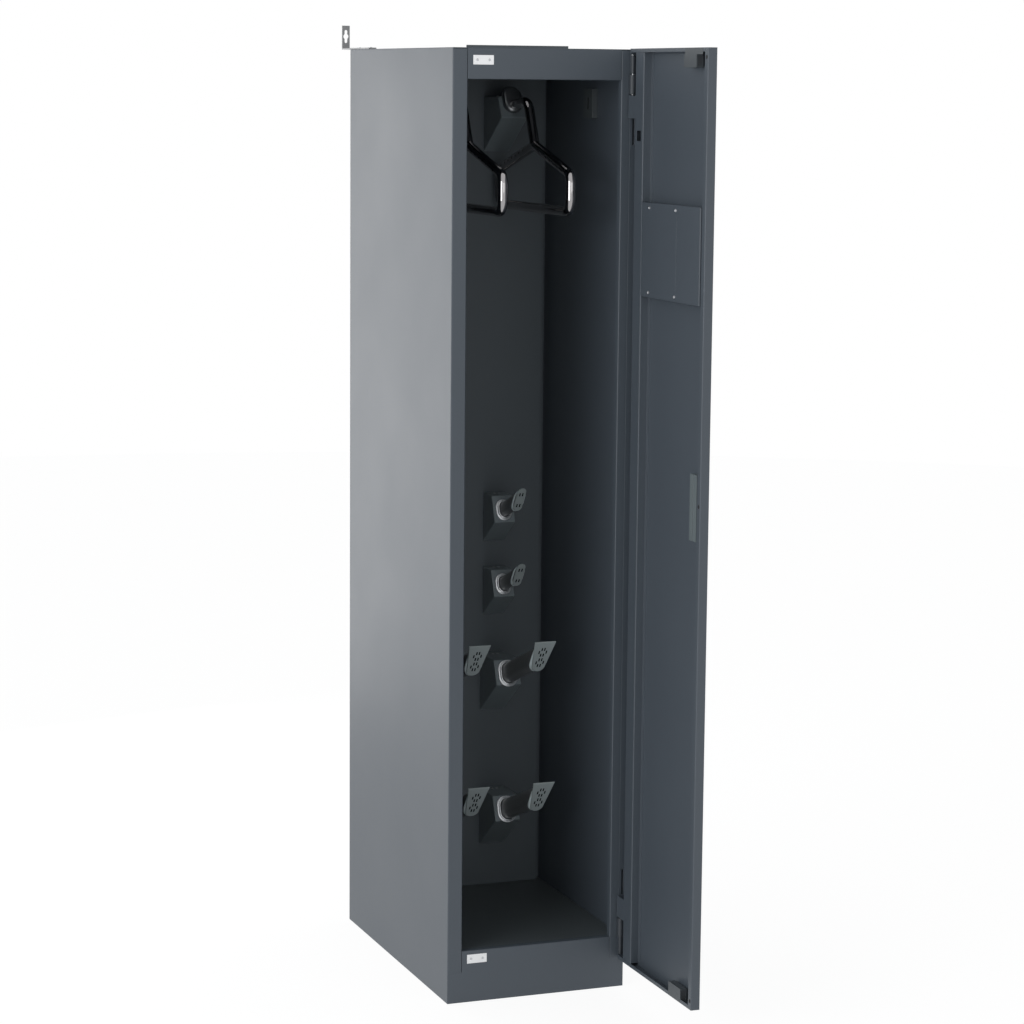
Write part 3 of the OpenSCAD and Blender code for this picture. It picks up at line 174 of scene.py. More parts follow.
class CabinetShape(PropertyGroup):
    """Sizes of what is rounded or added over the frame."""

    edge: FloatProperty(
        name="Edge rounding", description="Rounding of sheet edges",
        default=0.0004, unit="LENGTH", subtype="DISTANCE", min=0.0001, max=0.002)
    bend: FloatProperty(
        name="Bend radius", description="Outer radius of the folds in the sheet metal",
        default=0.0022, unit="LENGTH", subtype="DISTANCE", min=0.001, max=0.004)
    soft_edge: FloatProperty(
        name="Soft edge rounding", description="Rounding of moulded pieces' edges",
        default=0.0012, unit="LENGTH", subtype="DISTANCE", min=0.0002, max=0.004)
    around: IntProperty(
        name="Steps around", description="Faces around a tube or a collar",
        default=64, min=16, max=128)
    hanger_radius: FloatProperty(
        name="Hanger tube radius", description="Outer radius of the hanger's tube",
        default=0.0105, unit="LENGTH", subtype="DISTANCE", min=0.005, max=0.015)


# ---------------------------------------------------------------- mesh makers


def grid_faces(rows, cols, close_rows=False, close_cols=False):
    """Quads between neighbours of a rows by cols grid; either way can close on itself."""
    i, j = np.meshgrid(np.arange(rows if close_rows else rows - 1),
                       np.arange(cols if close_cols else cols - 1), indexing="ij")
    i1, j1 = (i + 1) % rows, (j + 1) % cols
    return np.stack([i * cols + j, i * cols + j1, i1 * cols + j1, i1 * cols + j], -1).reshape(-1, 4)


def surface(points, close_rows=False, close_cols=False):
    """A grid of points, shaped rows by cols by 3, as (vertices, faces)."""
    rows, cols = points.shape[:2]
    return points.reshape(-1, 3), grid_faces(rows, cols, close_rows, close_cols)


def moved(part, matrix):
    """A surface carried into place by a 4 by 4 matrix."""
    verts, faces = part
    m = np.array(matrix)
    return verts @ m[:3, :3].T + m[:3, 3], faces


def join_parts(parts):
    """Several surfaces as one list of vertices and one of faces."""
    verts, faces, start = [], [], 0
    for part_verts, part_faces in parts:
        verts.append(part_verts)
        faces.extend((np.asarray(part_faces) + start).tolist())
        start += len(part_verts)
    return np.concatenate(verts), faces


def settle(mesh):
    """Merges doubles, turns the faces outwards and keeps only the sharp edges sharp."""
    bm = bmesh.new()
    bm.from_mesh(mesh)
    bmesh.ops.remove_doubles(bm, verts=bm.verts, dist=1e-6)
    bmesh.ops.dissolve_degenerate(bm, edges=bm.edges, dist=1e-7)
    bmesh.ops.recalc_face_normals(bm, faces=bm.faces)
    bm.to_mesh(mesh)
    bm.free()
    mesh.shade_smooth()
    mesh.set_sharp_from_angle(angle=SMOOTH_ANGLE)


def place(name, mesh, material, body, nodes=()):
    """Links a finished mesh as a piece that rides on a body and stands for CAD nodes."""
    piece = bpy.data.objects.new(name, mesh)
    bpy.context.scene.collection.objects.link(piece)
    mesh.materials.clear()
    mesh.materials.append(material)
    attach(piece, body)
    if nodes:
        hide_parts(*nodes)
    return piece


def build(name, parts, material, body, nodes=()):
    """Makes a piece from surfaces that are worked out with numpy."""
    verts, faces = join_parts(parts)
    mesh = bpy.data.meshes.new(name)
    mesh.from_pydata(verts.tolist(), [], faces)
    settle(mesh)
    return place(name, mesh, material, body, nodes)


def merged_copy(node):
    """A copy of a CAD node's mesh with its doubles merged and its flat faces whole."""
    mesh = frame["nodes"][node].data.copy()
    mesh.name = node + "_finish"
    bm = bmesh.new()
    bm.from_mesh(mesh)
    bmesh.ops.remove_doubles(bm, verts=bm.verts, dist=2e-6)
    bmesh.ops.dissolve_limit(bm, angle_limit=math.radians(1.0), verts=bm.verts, edges=bm.edges)
    bm.to_mesh(mesh)
    bm.free()
    mesh.shade_smooth()
    mesh.set_sharp_from_angle(angle=SHARP_ANGLE)
    return mesh


def dress(node, material, width):
    """A merged copy of a CAD node's solid with rounded edges, in that node's place."""
    piece = place(node + "_finish", merged_copy(node), material, NODE_BODY[node], (node,))
    bevel = piece.modifiers.new("rounded_edges", "BEVEL")
    bevel.width = width
    bevel.segments = 2
    bevel.limit_method = "ANGLE"
    bevel.angle_limit = SHARP_ANGLE
    bevel.harden_normals = True


def mesh_values(items, name, width=1, kind=float):
    """One property of all items of a mesh as an array."""
    values = np.empty(len(items) * width, kind)
    items.foreach_get(name, values)
    return values.reshape(-1, width) if width > 1 else values


def fold_weights(mesh, share, upright):
    """Bevel weights of a sheet-metal mesh: 1 on a fold's outer corner, share on other edges.

    An edge is a fold's outer corner where its two faces turn outwards past the sharp angle,
    it is longer than a cut edge, and both faces are wider than the sheet is thick; a face's
    width is its area over the edge's length. With upright, only upright folds count.
    """
    edge_of_loop = mesh_values(mesh.loops, "edge_index", kind=int)
    loop_total = mesh_values(mesh.polygons, "loop_total", kind=int)
    face_of_loop = np.repeat(np.arange(len(loop_total)), loop_total)
    order = np.argsort(edge_of_loop, kind="stable")
    count = np.bincount(edge_of_loop, minlength=len(mesh.edges))
    start = np.cumsum(count) - count
    paired = np.flatnonzero(count == 2)
    one, two = (face_of_loop[order[start[paired] + k]] for k in (0, 1))
    normal = mesh_values(mesh.polygons, "normal", 3)
    centre = mesh_values(mesh.polygons, "center", 3)
    area = mesh_values(mesh.polygons, "area")
    ends = mesh_values(mesh.edges, "vertices", 2, int)[paired]
    places = mesh_values(mesh.vertices, "co", 3)
    along = places[ends[:, 1]] - places[ends[:, 0]]
    length = np.linalg.norm(along, axis=1)
    sharp = np.sum(normal[one] * normal[two], 1) < math.cos(SHARP_ANGLE)
    outward = np.sum((centre[two] - centre[one]) * normal[one], 1) < 0
    width = np.minimum(area[one], area[two]) / np.maximum(length, 1e-6)
    fold = sharp & outward & (length > FOLD_LEAST) & (width > FOLD_LEAST)
    if upright:
        fold &= np.abs(along[:, 2]) > 0.9 * length
    weights = np.zeros(len(mesh.edges))
    weights[paired] = np.where(fold, 1.0, np.where(sharp, share, 0.0))
    return weights


def fold(node, material, upright=False):
    """A folded-sheet piece in a CAD node's place: its folds get a bend radius."""
    mesh = merged_copy(node)
    weights = mesh.attributes.new("bevel_weight_edge", "FLOAT", "EDGE")
    weights.data.foreach_set("value", fold_weights(mesh, shape().edge / shape().bend, upright))
    piece = place(node + "_finish", mesh, material, NODE_BODY[node], (node,))
    bevel = piece.modifiers.new("bend_radii", "BEVEL")
    bevel.width = shape().bend
    bevel.segments = 4
    bevel.limit_method = "WEIGHT"
    bevel.harden_normals = True
    bevel.use_clamp_overlap = False


def finish_node(node, material):
    """Gives a CAD node that keeps its own shape a material."""
    mesh = frame["nodes"][node].data
    mesh.materials.clear()
    mesh.materials.append(material)


def stadium_ring(width, height, offset, count):
    """An upright stadium outline moved out by offset, as count by 2 points.

    The outline is a circle of radius width / 2 + offset whose upper half is lifted, and its
    lower half lowered, by half of height - width, so outlines of all offsets match up.
    """
    turn = np.linspace(0, 2 * np.pi, count, endpoint=False) + np.pi / count
    radius = width / 2 + offset
    lift = (height - width) / 2 * np.sign(np.sin(turn))
    return np.stack([radius * np.cos(turn), radius * np.sin(turn) + lift], -1)


def stadium_shell(width, height, profile, count, closed=True):
    """A profile of (offset, height) pairs carried round a stadium; closed joins its two ends."""
    rings = [np.column_stack([stadium_ring(width, height, offset, count), np.full(count, z)])
             for offset, z in profile]
    return surface(np.stack(rings), close_rows=closed, close_cols=True)


def arc(centre, radius, start, end, steps):
    """Points of an arc in a plane, from one angle to another, in degrees."""
    a = np.radians(np.linspace(start, end, steps))
    return np.stack([centre[0] + radius * np.cos(a), centre[1] + radius * np.sin(a)], -1)


def revolve(profile, count, ripple=None):
    """A (radius, height) profile turned about local Z.

    A point is at (radius * cos(angle), radius * sin(angle), height); ripple(angle, radius,
    height) adds to its radius.
    """
    turn = np.linspace(0, 2 * np.pi, count, endpoint=False)
    r = np.asarray(profile)[:, 0][:, None] * np.ones(count)
    z = np.asarray(profile)[:, 1][:, None] * np.ones(count)
    if ripple is not None:
        r = r + ripple(turn[None, :], r, z)
    points = np.stack([r * np.cos(turn), r * np.sin(turn), z], -1)
    return surface(points, close_cols=True)


def rounded_path(corners, radii, closed, steps=12):
    """Points of a path in the YZ plane whose corners are arcs.

    At each corner the arc's ends lie radius * tan(half the turn) from the corner, and its
    centre lies on the inner side at the bend radius.
    """
    corners = np.asarray(corners, float)
    count = len(corners)
    places = []
    for i in range(count):
        if not closed and i in (0, count - 1):
            places.append(corners[i][None, :])
            continue
        before, corner, after = corners[i - 1], corners[i], corners[(i + 1) % count]
        u = (corner - before) / np.linalg.norm(corner - before)
        v = (after - corner) / np.linalg.norm(after - corner)
        cross = u[0] * v[1] - u[1] * v[0]
        half = math.acos(np.clip(u @ v, -1, 1)) / 2
        normal = np.sign(cross) * np.array([-u[1], u[0]])
        centre = corner - u * radii[i] * math.tan(half) + normal * radii[i]
        a = np.sign(cross) * np.linspace(0, 2 * half, steps)
        turned = np.stack([normal[0] * np.cos(a) - normal[1] * np.sin(a),
                           normal[0] * np.sin(a) + normal[1] * np.cos(a)], -1)
        places.append(centre - turned * radii[i])
    return np.concatenate(places)


def tube_in_plane(path, x, radius, count, closed):
    """A round tube along a path in the plane of one X; its rings stand square to the path.

    A ring's point at an angle lies radius * sin(angle) along X and radius * cos(angle) along
    the path's normal from the path.
    """
    if closed:
        ahead, behind = np.roll(path, -1, 0), np.roll(path, 1, 0)
    else:
        ahead = np.vstack([path[1:], 2 * path[-1] - path[-2]])
        behind = np.vstack([2 * path[0] - path[1], path[:-1]])
    along = ahead - behind
    along /= np.linalg.norm(along, axis=1)[:, None]
    turn = np.linspace(0, 2 * np.pi, count, endpoint=False)
    across = radius * np.cos(turn)
    points = np.empty((len(path), count, 3))
    points[..., 0] = x + radius * np.sin(turn)
    points[..., 1] = path[:, :1] - along[:, 1:] * across
    points[..., 2] = path[:, 1:] + along[:, :1] * across
    return surface(points, close_rows=closed, close_cols=True)


def disc_end(ring):
    """A cap that closes a ring of points with one face."""
    return ring, [list(range(len(ring)))]


def small_block(centre, turn, size):
    """A box of a size in local X, Y and Z, turned about Z, as a surface."""
    corner = np.array([[x, y, z] for z in (0, 1) for y in (-0.5, 0.5) for x in (-0.5, 0.5)]) * size
    c, s = math.cos(turn), math.sin(turn)
    corner[:, :2] = corner[:, :2] @ np.array([[c, s], [-s, c]])
    faces = [[0, 2, 3, 1], [4, 5, 7, 6], [0, 1, 5, 4], [1, 3, 7, 5], [3, 2, 6, 7], [2, 0, 4, 6]]
    return corner + np.asarray(centre), faces


def front_frame(node, corner_rise, lean, up):
    """Matrix of a duct's leaning front: local Z leaves the duct, local Y runs up the front."""
    low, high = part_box(node)
    x = (low.x + high.x) / 2
    y = low.y + up * math.sin(lean)
    z = low.z + corner_rise + up * math.cos(lean)
    return Matrix.Translation((x, y, z)) @ Matrix.Rotation(math.pi / 2 - lean, 4, "X")


# ---------------------------------------------------------------- shader groups


def new_group(name, inputs, outputs):
    """A new shader node group with named float or colour sockets, and its two end nodes."""
    group = bpy.data.node_groups.new(name, "ShaderNodeTree")
    for label, kind, value in inputs:
        socket = group.interface.new_socket(name=label, in_out="INPUT", socket_type=kind)
        socket.default_value = value
    for label, kind in outputs:
        group.interface.new_socket(name=label, in_out="OUTPUT", socket_type=kind)
    return group, group.nodes.new("NodeGroupInput"), group.nodes.new("NodeGroupOutput")


def noise(tree, vector, scale, detail, roughness=0.5):
    """A noise texture; scale is a number or a socket."""
    node = tree.nodes.new("ShaderNodeTexNoise")
    node.inputs["Detail"].default_value = detail
    node.inputs["Roughness"].default_value = roughness
    tree.links.new(vector, node.inputs["Vector"])
    if isinstance(scale, (int, float)):
        node.inputs["Scale"].default_value = scale
    else:
        tree.links.new(scale, node.inputs["Scale"])
    return node.outputs["Fac"]


def math_node(tree, operation, a, b):
    """A math node whose two inputs are numbers or sockets."""
    node = tree.nodes.new("ShaderNodeMath")
    node.operation = operation
    for socket, value in zip(node.inputs, (a, b)):
        if isinstance(value, (int, float)):
            socket.default_value = value
        else:
            tree.links.new(value, socket)
    return node.outputs[0]


def finish_group(group, entry, exit_, gain, gloss, height):
    """Joins a group's ends: its colour times gain, its roughness plus gloss, and its height."""
    scale = group.nodes.new("ShaderNodeVectorMath")
    scale.operation = "SCALE"
    group.links.new(entry.outputs["Color"], scale.inputs[0])
    group.links.new(gain, scale.inputs["Scale"])
    group.links.new(scale.outputs[0], exit_.inputs["Color"])
    rough = math_node(group, "ADD", entry.outputs["Roughness"], gloss)
    group.links.new(rough, exit_.inputs["Roughness"])
    group.links.new(height, exit_.inputs["Height"])
    return group


def coat_group():
    """Powder coat: broad tone drift, fine orange peel and uneven gloss."""
    name = "powder_coat"
    if name in bpy.data.node_groups:
        return bpy.data.node_groups[name]
    group, entry, exit_ = new_group(
        name,
        [("Color", "NodeSocketColor", (0.04, 0.05, 0.06, 1.0)),
         ("Roughness", "NodeSocketFloat", 0.36),
         ("Drift", "NodeSocketFloat", 0.06),
         ("Peel Scale", "NodeSocketFloat", 700.0)],
        [("Color", "NodeSocketColor"), ("Roughness", "NodeSocketFloat"),
         ("Height", "NodeSocketFloat")])
    coords = group.nodes.new("ShaderNodeTexCoord").outputs["Object"]
    broad = noise(group, coords, 2.3, 4.0, 0.6)
    fine = noise(group, coords, entry.outputs["Peel Scale"], 2.0, 0.45)
    speck = noise(group, coords, 210.0, 3.0, 0.6)
    centred = math_node(group, "SUBTRACT", broad, 0.5)
    drift = math_node(group, "MULTIPLY", centred, entry.outputs["Drift"])
    specks = math_node(group, "MULTIPLY", math_node(group, "SUBTRACT", speck, 0.5), 0.05)
    gain = math_node(group, "ADD", math_node(group, "ADD", drift, specks), 1.0)
    gloss = math_node(group, "MULTIPLY", centred, 0.12)
    return finish_group(group, entry, exit_, gain, gloss, fine)


def brushed_group():
    """Rolled or brushed metal: fine lines along one axis, in colour, gloss and height."""
    name = "brushed_lines"
    if name in bpy.data.node_groups:
        return bpy.data.node_groups[name]
    group, entry, exit_ = new_group(
        name,
        [("Color", "NodeSocketColor", (0.6, 0.6, 0.6, 1.0)),
         ("Roughness", "NodeSocketFloat", 0.3),
         ("Line Scale", "NodeSocketFloat", 900.0)],
        [("Color", "NodeSocketColor"), ("Roughness", "NodeSocketFloat"),
         ("Height", "NodeSocketFloat")])
    coords = group.nodes.new("ShaderNodeTexCoord").outputs["Object"]
    stretch = group.nodes.new("ShaderNodeMapping")
    stretch.inputs["Scale"].default_value = (1.0, 0.04, 1.0)
    group.links.new(coords, stretch.inputs["Vector"])
    lines = noise(group, stretch.outputs[0], entry.outputs["Line Scale"], 3.0, 0.5)
    blotch = noise(group, coords, 45.0, 3.0, 0.6)
    mixed = math_node(group, "ADD", math_node(group, "MULTIPLY", lines, 0.6),
                      math_node(group, "MULTIPLY", blotch, 0.4))
    centred = math_node(group, "SUBTRACT", mixed, 0.5)
    gain = math_node(group, "ADD", math_node(group, "MULTIPLY", centred, 0.22), 1.0)
    gloss = math_node(group, "MULTIPLY", centred, 0.25)
    return finish_group(group, entry, exit_, gain, gloss, lines)


# ---------------------------------------------------------------- materials


def surfaced(name, group, values, bump, depth, metallic=0.0, coat=0.0, ior=1.5):
    """A Principled material whose colour, roughness and bump come from a surface group.

    Its name ends in _finish, because the frame has materials such as body_paint of its own.
    """
    name += "_finish"
    if name in bpy.data.materials:
        return bpy.data.materials[name]
    material = bpy.data.materials.new(name)
    material.use_nodes = True
    tree = material.node_tree
    shader = tree.nodes["Principled BSDF"]
    node = tree.nodes.new("ShaderNodeGroup")
    node.node_tree = group
    for label, value in values.items():
        node.inputs[label].default_value = value
    relief = tree.nodes.new("ShaderNodeBump")
    relief.inputs["Strength"].default_value = bump
    relief.inputs["Distance"].default_value = depth
    tree.links.new(node.outputs["Height"], relief.inputs["Height"])
    tree.links.new(relief.outputs["Normal"], shader.inputs["Normal"])
    tree.links.new(node.outputs["Color"], shader.inputs["Base Color"])
    tree.links.new(node.outputs["Roughness"], shader.inputs["Roughness"])
    shader.inputs["Metallic"].default_value = metallic
    shader.inputs["Coat Weight"].default_value = coat
    shader.inputs["IOR"].default_value = ior
    return material


def paint():
    """The scene's paint settings."""
    return bpy.context.scene.cabinet_paint


def shape():
    """The scene's shape settings."""
    return bpy.context.scene.cabinet_shape


def coated(name, color, roughness, peel_scale=700.0, bump=None, coat=0.0, ior=1.5):
    """A powder-coated or moulded finish."""
    values = {"Color": (*color, 1.0), "Roughness": roughness, "Drift": 0.06,
              "Peel Scale": peel_scale}
    bump = paint().peel if bump is None else bump
    return surfaced(name, coat_group(), values, bump, 0.0004, coat=coat, ior=ior)


def brushed(name, color, roughness):
    """A bare or plated metal finish."""
    values = {"Color": (*color, 1.0), "Roughness": roughness, "Line Scale": 900.0}
    return surfaced(name, brushed_group(), values, 0.08, 0.0003, metallic=1.0)


def body_paint():
    """Satin slate-grey powder coat of the body and the door."""
    return coated("body_paint", paint().body, paint().roughness)


def hinge_shaded_paint():
    """The body's powder coat at half its colour as painted shade, and duller, on the hinges' knuckles."""
    return coated("hinge_shaded_paint", [value / 2 for value in paint().body], paint().roughness + 0.07)


def inner_paint():
    """The body's powder coat inside the cabinet, made lighter there as painted light."""
    return coated("inner_paint", paint().inner, paint().roughness)


def mid_paint():
    """The ducts' grey at a third of its lightness, on the floor and the sensor's cover."""
    return coated("mid_paint", [value / 3 for value in paint().duct], paint().roughness - 0.05)


def duct_paint():
    """A lighter grey powder coat on the ducts."""
    return coated("duct_paint", paint().duct, paint().roughness - 0.05)


def tube_dark():
    """Satin dark grey of the arms' tubes."""
    return coated("tube_dark", paint().tube, 0.30, bump=0.03, coat=0.3)


def plated(name, color, roughness):
    """A smooth plated metal."""
    values = {"Color": (*color, 1.0), "Roughness": roughness, "Drift": 0.03, "Peel Scale": 700.0}
    return surfaced(name, coat_group(), values, 0.01, 0.0004, metallic=1.0)


def dark_chrome():
    """Dark bright plating of the hangers' tubes."""
    return plated("dark_chrome", paint().chrome, 0.08)


def hub_satin():
    """Satin plating of the hangers' hubs."""
    return plated("hub_satin", (0.30, 0.315, 0.325), 0.36)


def silver():
    """Satin silver of the collars."""
    return brushed("collar_silver", paint().silver, 0.30)


def plate_grey():
    """Mid-grey finish of the end plates."""
    return coated("plate_grey", paint().plate, 0.42, bump=0.05)


def rim_lit_grey():
    """Painted light: the end plates' grey at 2.3 times its lightness on the rims behind them, which stand
    in shade.
    """
    return coated("rim_lit_grey", [2.3 * value for value in paint().plate], 0.42, bump=0.05)


def pull_grey():
    """Darker grey of the pull."""
    return coated("pull_grey", (0.118, 0.143, 0.152), 0.40, bump=0.05)


def catch_grey():
    """Grey moulded finish of the magnet catches and the knob."""
    return coated("catch_grey", (0.060, 0.070, 0.078), 0.48, peel_scale=1400.0)


def magnet_grey():
    """Dark sintered grey of the catches' magnets."""
    return coated("magnet_grey", (0.055, 0.060, 0.066), 0.5, bump=0.05)


def white_enamel():
    """Smooth white of the strike plates and the start button."""
    return coated("white_enamel", paint().white, 0.35, bump=0.03)


def zinc():
    """Bright zinc plating."""
    return brushed("zinc_plate", paint().zinc, 0.34)


def bracket_zinc():
    """Dull grey plating of the wall bracket."""
    return brushed("bracket_zinc", (0.26, 0.265, 0.27), 0.5)


def rubber():
    """Matt black rubber."""
    return coated("buffer_rubber", (0.012, 0.012, 0.013), 0.72, peel_scale=1800.0, bump=0.2)


def painted_hole_shade():
    """Painted shade: matt black that stands in for the shade in a hole's depth."""
    return coated("painted_hole_shade", (0.002, 0.002, 0.002), 0.9, bump=0.0, ior=1.1)


def moulded_black():
    """Finely textured black plastic."""
    return coated("moulded_black", (0.016, 0.017, 0.019), 0.5, peel_scale=1600.0, bump=0.15)


def fleece():
    """Matt filter fleece."""
    return coated("filter_fleece", (0.62, 0.63, 0.6), 0.95, peel_scale=900.0, bump=0.6)


# ---------------------------------------------------------------- operators


class CABINET_OT_body(Operator):
    """Finish the body's sheet metal: sides, roof, base, floor, back, rail and plinth"""

    bl_idname = "cabinet.body"
    bl_label = "Body"

    def execute(self, context):
        for node in ("side_left", "side_right", "top_rail", "plinth"):
            fold(node, body_paint())
        dress("roof", body_paint(), shape().edge)
        for node in ("rear_panel", "base_tray"):
            fold(node, inner_paint())
        fold("floor_pan", mid_paint())
        dress("strike_plates", white_enamel(), shape().edge / 3)
        finish_node("strike_rivets", zinc())
        return {"FINISHED"}


class CABINET_OT_air_wall(Operator):
    """Finish the air wall and the sensor's cover"""

    bl_idname = "cabinet.air_wall"
    bl_label = "Air wall"

    def execute(self, context):
        fold("air_wall", inner_paint())
        self.sensor()
        return {"FINISHED"}

    def sensor(self):
        """The sensor's cover, and a black block behind the slot in its face as painted shade."""
        dress("sensor_cover", mid_paint(), shape().edge)
        low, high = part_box("sensor_cover")
        slot_length, slot_width, dark_depth, sunk = 24.9 * MM, 4.4 * MM, 1.0 * MM, 1.3 * MM
        spot = Matrix.Translation((low.x + sunk, (low.y + high.y) / 2, (low.z + high.z) / 2))
        # Painted shade: a black block just inside the slot stands in for the dark behind it
        dark = small_block((0, 0, 0), 0.0, (slot_length, slot_width, dark_depth))
        turned = spot @ Matrix.Rotation(-math.pi / 2, 4, "Y")
        build("sensor_slot_shade", [moved(dark, turned)], painted_hole_shade(), "cabinet")


class CABINET_OT_ducts(Operator):
    """Finish the ten sheet-metal ducts"""

    bl_idname = "cabinet.ducts"
    bl_label = "Ducts"

    def execute(self, context):
        for node in DUCTS:
            fold(node, duct_paint())
        return {"FINISHED"}


def arm_frame(kind, row, side):
    """Matrix of an arm's foot on its duct."""
    up, corner_rise = ARM_KINDS[kind][3:]
    return front_frame(f"{kind}_duct_{row}_{side}", corner_rise, ARM_RISE, up)


class CABINET_OT_collars(Operator):
    """Build the stepped silver collars where the arms leave the ducts"""

    bl_idname = "cabinet.collars"
    bl_label = "Collars"

    def execute(self, context):
        inner, sleeve, flange = 0.3 * MM, 4.0 * MM, 8.0 * MM
        step_z, top_z, round_r = 4.0 * MM, 8.0 * MM, 1.9 * MM
        # The collar's section, from the tube outwards: a round-topped sleeve, then the flange
        profile = np.vstack([
            [[inner, 0.0]],
            arc((inner + round_r, top_z - round_r), round_r, 180, 90, 7),
            arc((sleeve - round_r, top_z - round_r), round_r, 90, 0, 7),
            [[sleeve + 0.2 * MM, step_z]],
            arc((flange - round_r, step_z - round_r), round_r, 90, 0, 7),
            [[flange, 0.0]],
        ])
        parts = []
        for kind, row, side in ARMS:
            width, height = ARM_KINDS[kind][:2]
            shell = stadium_shell(width, height, profile, shape().around)
            parts.append(moved(shell, arm_frame(kind, row, side)))
        build("ring_collars_finish", parts, silver(), "cabinet", ("ring_collars",))
        return {"FINISHED"}


def arm_tube(width, height, length, inside, wall, count):
    """A flattened tube with a wall; its end follows the plane of the slanted end plate.

    It starts inside the duct. A point at height y on the outline ends at
    z = length + y * tan(tip angle).
    """
    slope = math.tan(TIP_LEAN + ARM_RISE)
    rings = []
    # Up the outside, with a ring near each end, and down the inside
    outside = [(0.0, share) for share in (0.0, 0.02, 0.98, 1.0)]
    for offset, share in outside + [(-wall, 1.0), (-wall, 0.0)]:
        outline = stadium_ring(width, height, offset, count)
        end = length + outline[:, 1] * slope
        rings.append(np.column_stack([outline, -inside + share * (end + inside)]))
    return surface(np.stack(rings), close_rows=True, close_cols=True)


class CABINET_OT_arms(Operator):
    """Build the glove and boot arms' flattened tubes"""

    bl_idname = "cabinet.arms"
    bl_label = "Arms"

    def execute(self, context):
        inside, wall = 12.0 * MM, 1.5 * MM
        for kind, row, side in ARMS:
            width, height, length = ARM_KINDS[kind][:3]
            tube = arm_tube(width, height, length, inside, wall, shape().around)
            node = f"{kind}_arm_{row}_{side}"
            build(node + "_finish", [moved(tube, arm_frame(kind, row, side))], tube_dark(),
                  "cabinet", (node,))
        return {"FINISHED"}


def glove_outline(inset):
    """The glove plate's outline, moved in by inset: a stadium of 20 by 65 mm."""
    return stadium_ring(20.0 * MM, 65.0 * MM, -inset, 64)


def boot_outline(inset):
    """The boot plate's outline, moved in by inset: a half circle that widens to a flat top."""
    low_r, top_y, top_half = 15.0 * MM, 44.5 * MM, 24.5 * MM
    half_circle = arc((0.0, low_r - top_y), low_r - inset, 180, 360, 33)
    corners = [[top_half - inset, top_y - inset], [inset - top_half, top_y - inset]]
    return np.vstack([half_circle, corners])


def slotted_plate(outline, slots, thick, chamfer):
    """A plate with slots and a chamfer round its face.

    The face and the back are triangles between the outline and the slots' rectangles; those
    whose middle lies in a slot are cut. The outline at full size runs from the back to the
    chamfer, which narrows it to the face.
    """
    half = np.array([[-1, -1], [1, -1], [1, 1], [-1, 1]]) * [SLOT_WIDTH / 2, SLOT_LENGTH / 2]
    holes = [half + slot for slot in slots]
    parts = []
    for inset, z in ((chamfer, thick), (0.0, 0.0)):
        loops = [outline(inset), *holes]
        points = np.vstack(loops)
        ends = np.cumsum([len(loop) for loop in loops])
        after = np.arange(len(points)) + 1
        after[ends - 1] = np.concatenate([[0], ends[:-1]])
        edges = np.stack([np.arange(len(points)), after], -1).tolist()
        flat = delaunay_2d_cdt(points.tolist(), edges, [], 1, 1e-7)
        corners, faces = np.array(flat[0]), np.array(flat[2])
        middles = corners[faces].mean(axis=1)
        apart = np.abs(middles[:, None] - np.array(slots)) * 2
        cut = (apart < [SLOT_WIDTH, SLOT_LENGTH]).all(axis=2).any(axis=1)
        level = np.column_stack([corners, np.full(len(corners), z)])
        parts.append((level, faces[~cut].tolist()))
    rings = [(0.0, 0.0), (0.0, thick - chamfer), (chamfer, thick)]
    rim = [np.column_stack([outline(inset), np.full(len(outline(inset)), z)]) for inset, z in rings]
    parts.append(surface(np.stack(rim), close_cols=True))
    for hole in holes:
        walls = [np.column_stack([hole, np.full(4, z)]) for z in (0.0, thick)]
        parts.append(surface(np.stack(walls), close_cols=True))
    return parts


def tube_rim(width, height, length, side, count):
    """The rounded band round a tube's slanted end, a little behind its plate.

    It stands out by band above and below the tube and by side at its sides. A point at height
    y on the outline lies at z = length + y * tan(tip angle), less its depth behind the plate
    over cos(tip angle).
    """
    angle = TIP_LEAN + ARM_RISE
    front, back, band, round_r, gap = 2.2 * MM, 6.8 * MM, 2.0 * MM, 0.7 * MM, 0.15 * MM
    section = np.vstack([
        [[gap, back], [gap, front]],
        arc((band - round_r, front + round_r), round_r, -90, 0, 5),
        arc((band - round_r, back - round_r), round_r, 0, 90, 5),
    ])
    rings = []
    for offset, depth in section:
        outline = stadium_ring(width, height, offset, count)
        outline[:, 0] *= (width / 2 + offset * side / band) / (width / 2 + offset)
        z = length + outline[:, 1] * math.tan(angle) - depth / math.cos(angle)
        rings.append(np.column_stack([outline, z]))
    return surface(np.stack(rings), close_rows=True, close_cols=True)


